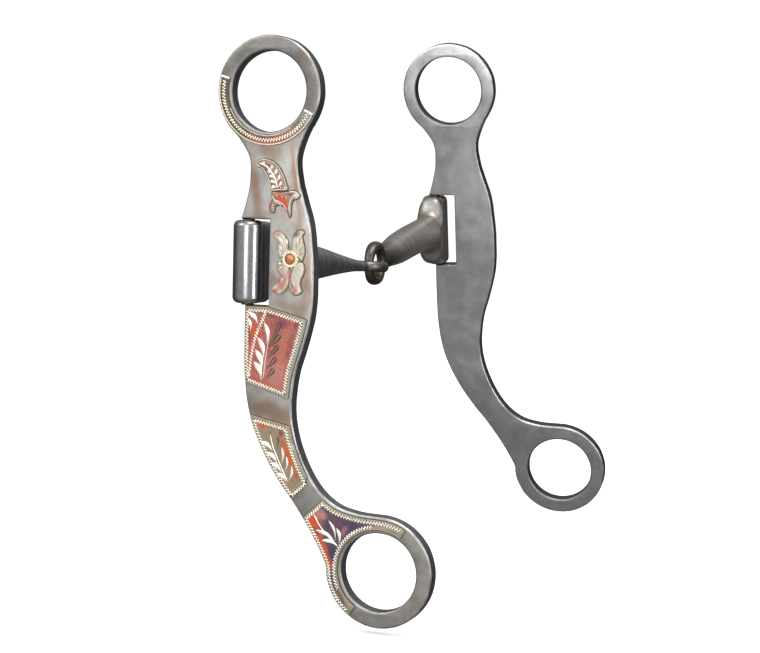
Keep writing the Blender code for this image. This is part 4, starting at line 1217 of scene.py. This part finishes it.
def makeCanon(name):
    spec = canons[name]
    length = spec["length"]
    if name == "left_canon":
        eye = bentBar(mouth["eyeHoleWidth"] + mouth["eyeBar"], mouth["eyeHole"] + mouth["eyeBar"],
                      mouth["eyeBar"], mouth["eyeBarHeight"])
        eye.transform(Matrix.Translation((0, length * mm, 0)))
    else:
        eye = bentBar(mouth["linkDepth"], mouth["linkHeight"], mouth["linkBar"], mouth["linkBar"],
                      mouth["linkSwell"])
        upright = Matrix.Rotation(pi / 2, 4, "Z") @ Matrix.Rotation(pi / 2, 4, "X")
        eye.transform(Matrix.Translation((0, (length - mouth["linkDepth"]) * mm, 0)) @ upright)
    half, radius, corner = mouth["barrelLength"] / 2, mouth["barrelRadius"], mouth["barrelRound"]
    bore, eased = mouth["bore"], mouth["boreEased"]
    top = [(radius - corner + corner * cos(radians(a)), half - corner + corner * sin(radians(a)))
           for a in range(0, 91, 10)]
    profile = top + [(bore + eased, half), (bore, half - eased)]
    profile += [(bore, -half + eased), (bore + eased, -half)]
    profile += [(r, -h) for r, h in top[::-1]]
    barrel = turned(profile, 96)
    tilt = Matrix.Rotation(radians(spec["slope"]), 4, "X")
    drop = Matrix.Translation((0, 0, -spec["drop"] * mm))

    arm = loose(joined("arm", [armMesh(spec), eye]))
    arm.data.transform(tilt)
    drill = loose(turned([(0.0, -half - 2), (bore, -half - 2), (bore, half + 2), (0.0, half + 2)], 48))
    bored = arm.modifiers.new("bore", "BOOLEAN")
    bored.operation, bored.solver, bored.object = "DIFFERENCE", "EXACT", drill
    bored.use_self = True
    cut = settled(arm)
    bpy.data.objects.remove(drill)
    arm = loose(joined("arm", [cut, barrel] if spec["forgedIn"] else [cut]))
    remesh = arm.modifiers.new("blend", "REMESH")
    remesh.mode = "VOXEL"
    remesh.voxel_size = mouth["voxel"] * mm
    soften = arm.modifiers.new("soften", "CORRECTIVE_SMOOTH")
    soften.iterations = spec["soften"]
    soften.use_only_smooth = True
    mesh = settled(arm)
    mesh.transform(drop)
    finish = "leftIron" if name == "left_canon" else "rightIron"
    place(name + "_arm", mesh, finish, name, [name], 180)
    if not spec["forgedIn"]:
        barrel.transform(drop)
        place(name + "_barrel", barrel, "barrel", name, (), 50)


for hand, side in (("left", -1), ("right", 1)):
    print("cheek:", hand)
    makePlate(hand, side)
    makePost(hand)
    makeBand(hand, side)
    makeLeaf(hand, side)
    makeFlower(hand, side)
    makePanels(hand, side)
for name in canons:
    print("mouthpiece:", name)
    makeCanon(name)


# studio
studio = {
    "floorGap": 0.002, "floorSize": 6.0,
    "lens": 83.41, "sensor": 36.0,
    "cameraAt": (0.21772, -0.48293, -0.02049),
    "cameraRight": (0.93501, 0.35366, 0.02595),
    "cameraUp": (-0.05682, 0.07718, 0.9954),
    "frontGlow": (0.10, -0.85, 0.10, 0.54),     # from y, to y, and the glow at each
    "topGlow": (0.0, 0.9, 0.0, 0.45),           # the same for z
    "backdrop": 1.10,
    "floorGlow": 0.20,
    "lamps": (      # where, size, watts
        ((0.80, -0.27, 0.00), (0.10, 0.60), 2.6),
        ((0.10, -0.80, 0.10), (0.30, 0.55), 2.0),
        ((0.25, -0.05, 0.80), (0.60, 0.40), 4.5),
        ((-0.50, -0.55, 0.45), (0.50, 0.50), 2.0),
    ),
}


def makeStudio():
    low, high = cadBox
    middle = (low + high) / 2
    size = studio["floorSize"]
    mesh = bpy.data.meshes.new("floor")
    corners = [(-size, -size, 0), (size, -size, 0), (size, size, 0), (-size, size, 0)]
    mesh.from_pydata(corners, [], [(0, 1, 2, 3)])
    floor = bpy.data.objects.new("floor", mesh)
    scene.collection.objects.link(floor)
    floor.location = (middle.x, middle.y, low.z - studio["floorGap"])
    floor.visible_glossy = False
    paint = Paint("paleFloor", 0.0, 0.9)
    soft = paint.cloud(400, 2, 0.5)
    paint.shader.inputs["Specular IOR Level"].default_value = 0.0
    paint.shader.inputs["Emission Color"].default_value = (1, 1, 1, 1)
    paint.shader.inputs["Emission Strength"].default_value = studio["floorGlow"]
    mesh.materials.append(paint.finish(Base_Color=paint.mix(soft, (0.93, 0.93, 0.93), (0.95, 0.95, 0.95))))

    for i, (where, reach, watts) in enumerate(studio["lamps"]):
        lamp = bpy.data.lights.new(f"softbox{i}", "AREA")
        lamp.shape = "RECTANGLE"
        lamp.size, lamp.size_y = reach
        lamp.energy = watts
        box = bpy.data.objects.new(lamp.name, lamp)
        scene.collection.objects.link(box)
        box.location = where
        box.rotation_mode = "QUATERNION"
        box.rotation_quaternion = (middle - Vector(where)).to_track_quat("-Z", "Y")

    world = bpy.data.worlds.new("studio")
    scene.world = world
    world.use_nodes = True
    world.node_tree.nodes.clear()
    board = Board(world.node_tree)
    x, y, z = board.axes(board.node("TexCoord", {}, {}, "Generated"))
    front = board.ramp(y, *studio["frontGlow"], "SMOOTHSTEP")
    above = board.ramp(z, *studio["topGlow"])
    reflected = board.node("Background", {}, {"Strength": front + above})
    backdrop = board.node("Background", {}, {"Color": (1, 1, 1), "Strength": studio["backdrop"]})
    seen = board.node("LightPath", {}, {}, "Is Camera Ray")     # the floor and backdrop are even
    even = board.maths("MAXIMUM", seen, board.beside(seen, "Is Diffuse Ray"))
    lit = board.node("MixShader", {}, {0: even, 1: reflected, 2: backdrop})
    board.node("OutputWorld", {}, {"Surface": lit})

    right, up = Vector(studio["cameraRight"]), Vector(studio["cameraUp"])
    eye = bpy.data.cameras.new("camera")
    eye.lens, eye.sensor_width = studio["lens"], studio["sensor"]
    eye.clip_start, eye.clip_end = 0.01, 50
    camera = bpy.data.objects.new("camera", eye)
    scene.collection.objects.link(camera)
    turn = Matrix((right, up, right.cross(up))).transposed()
    camera.matrix_world = Matrix.Translation(studio["cameraAt"]) @ turn.to_4x4()
    scene.camera = camera
    scene.view_settings.view_transform = "Standard"


print("studio")
makeStudio()
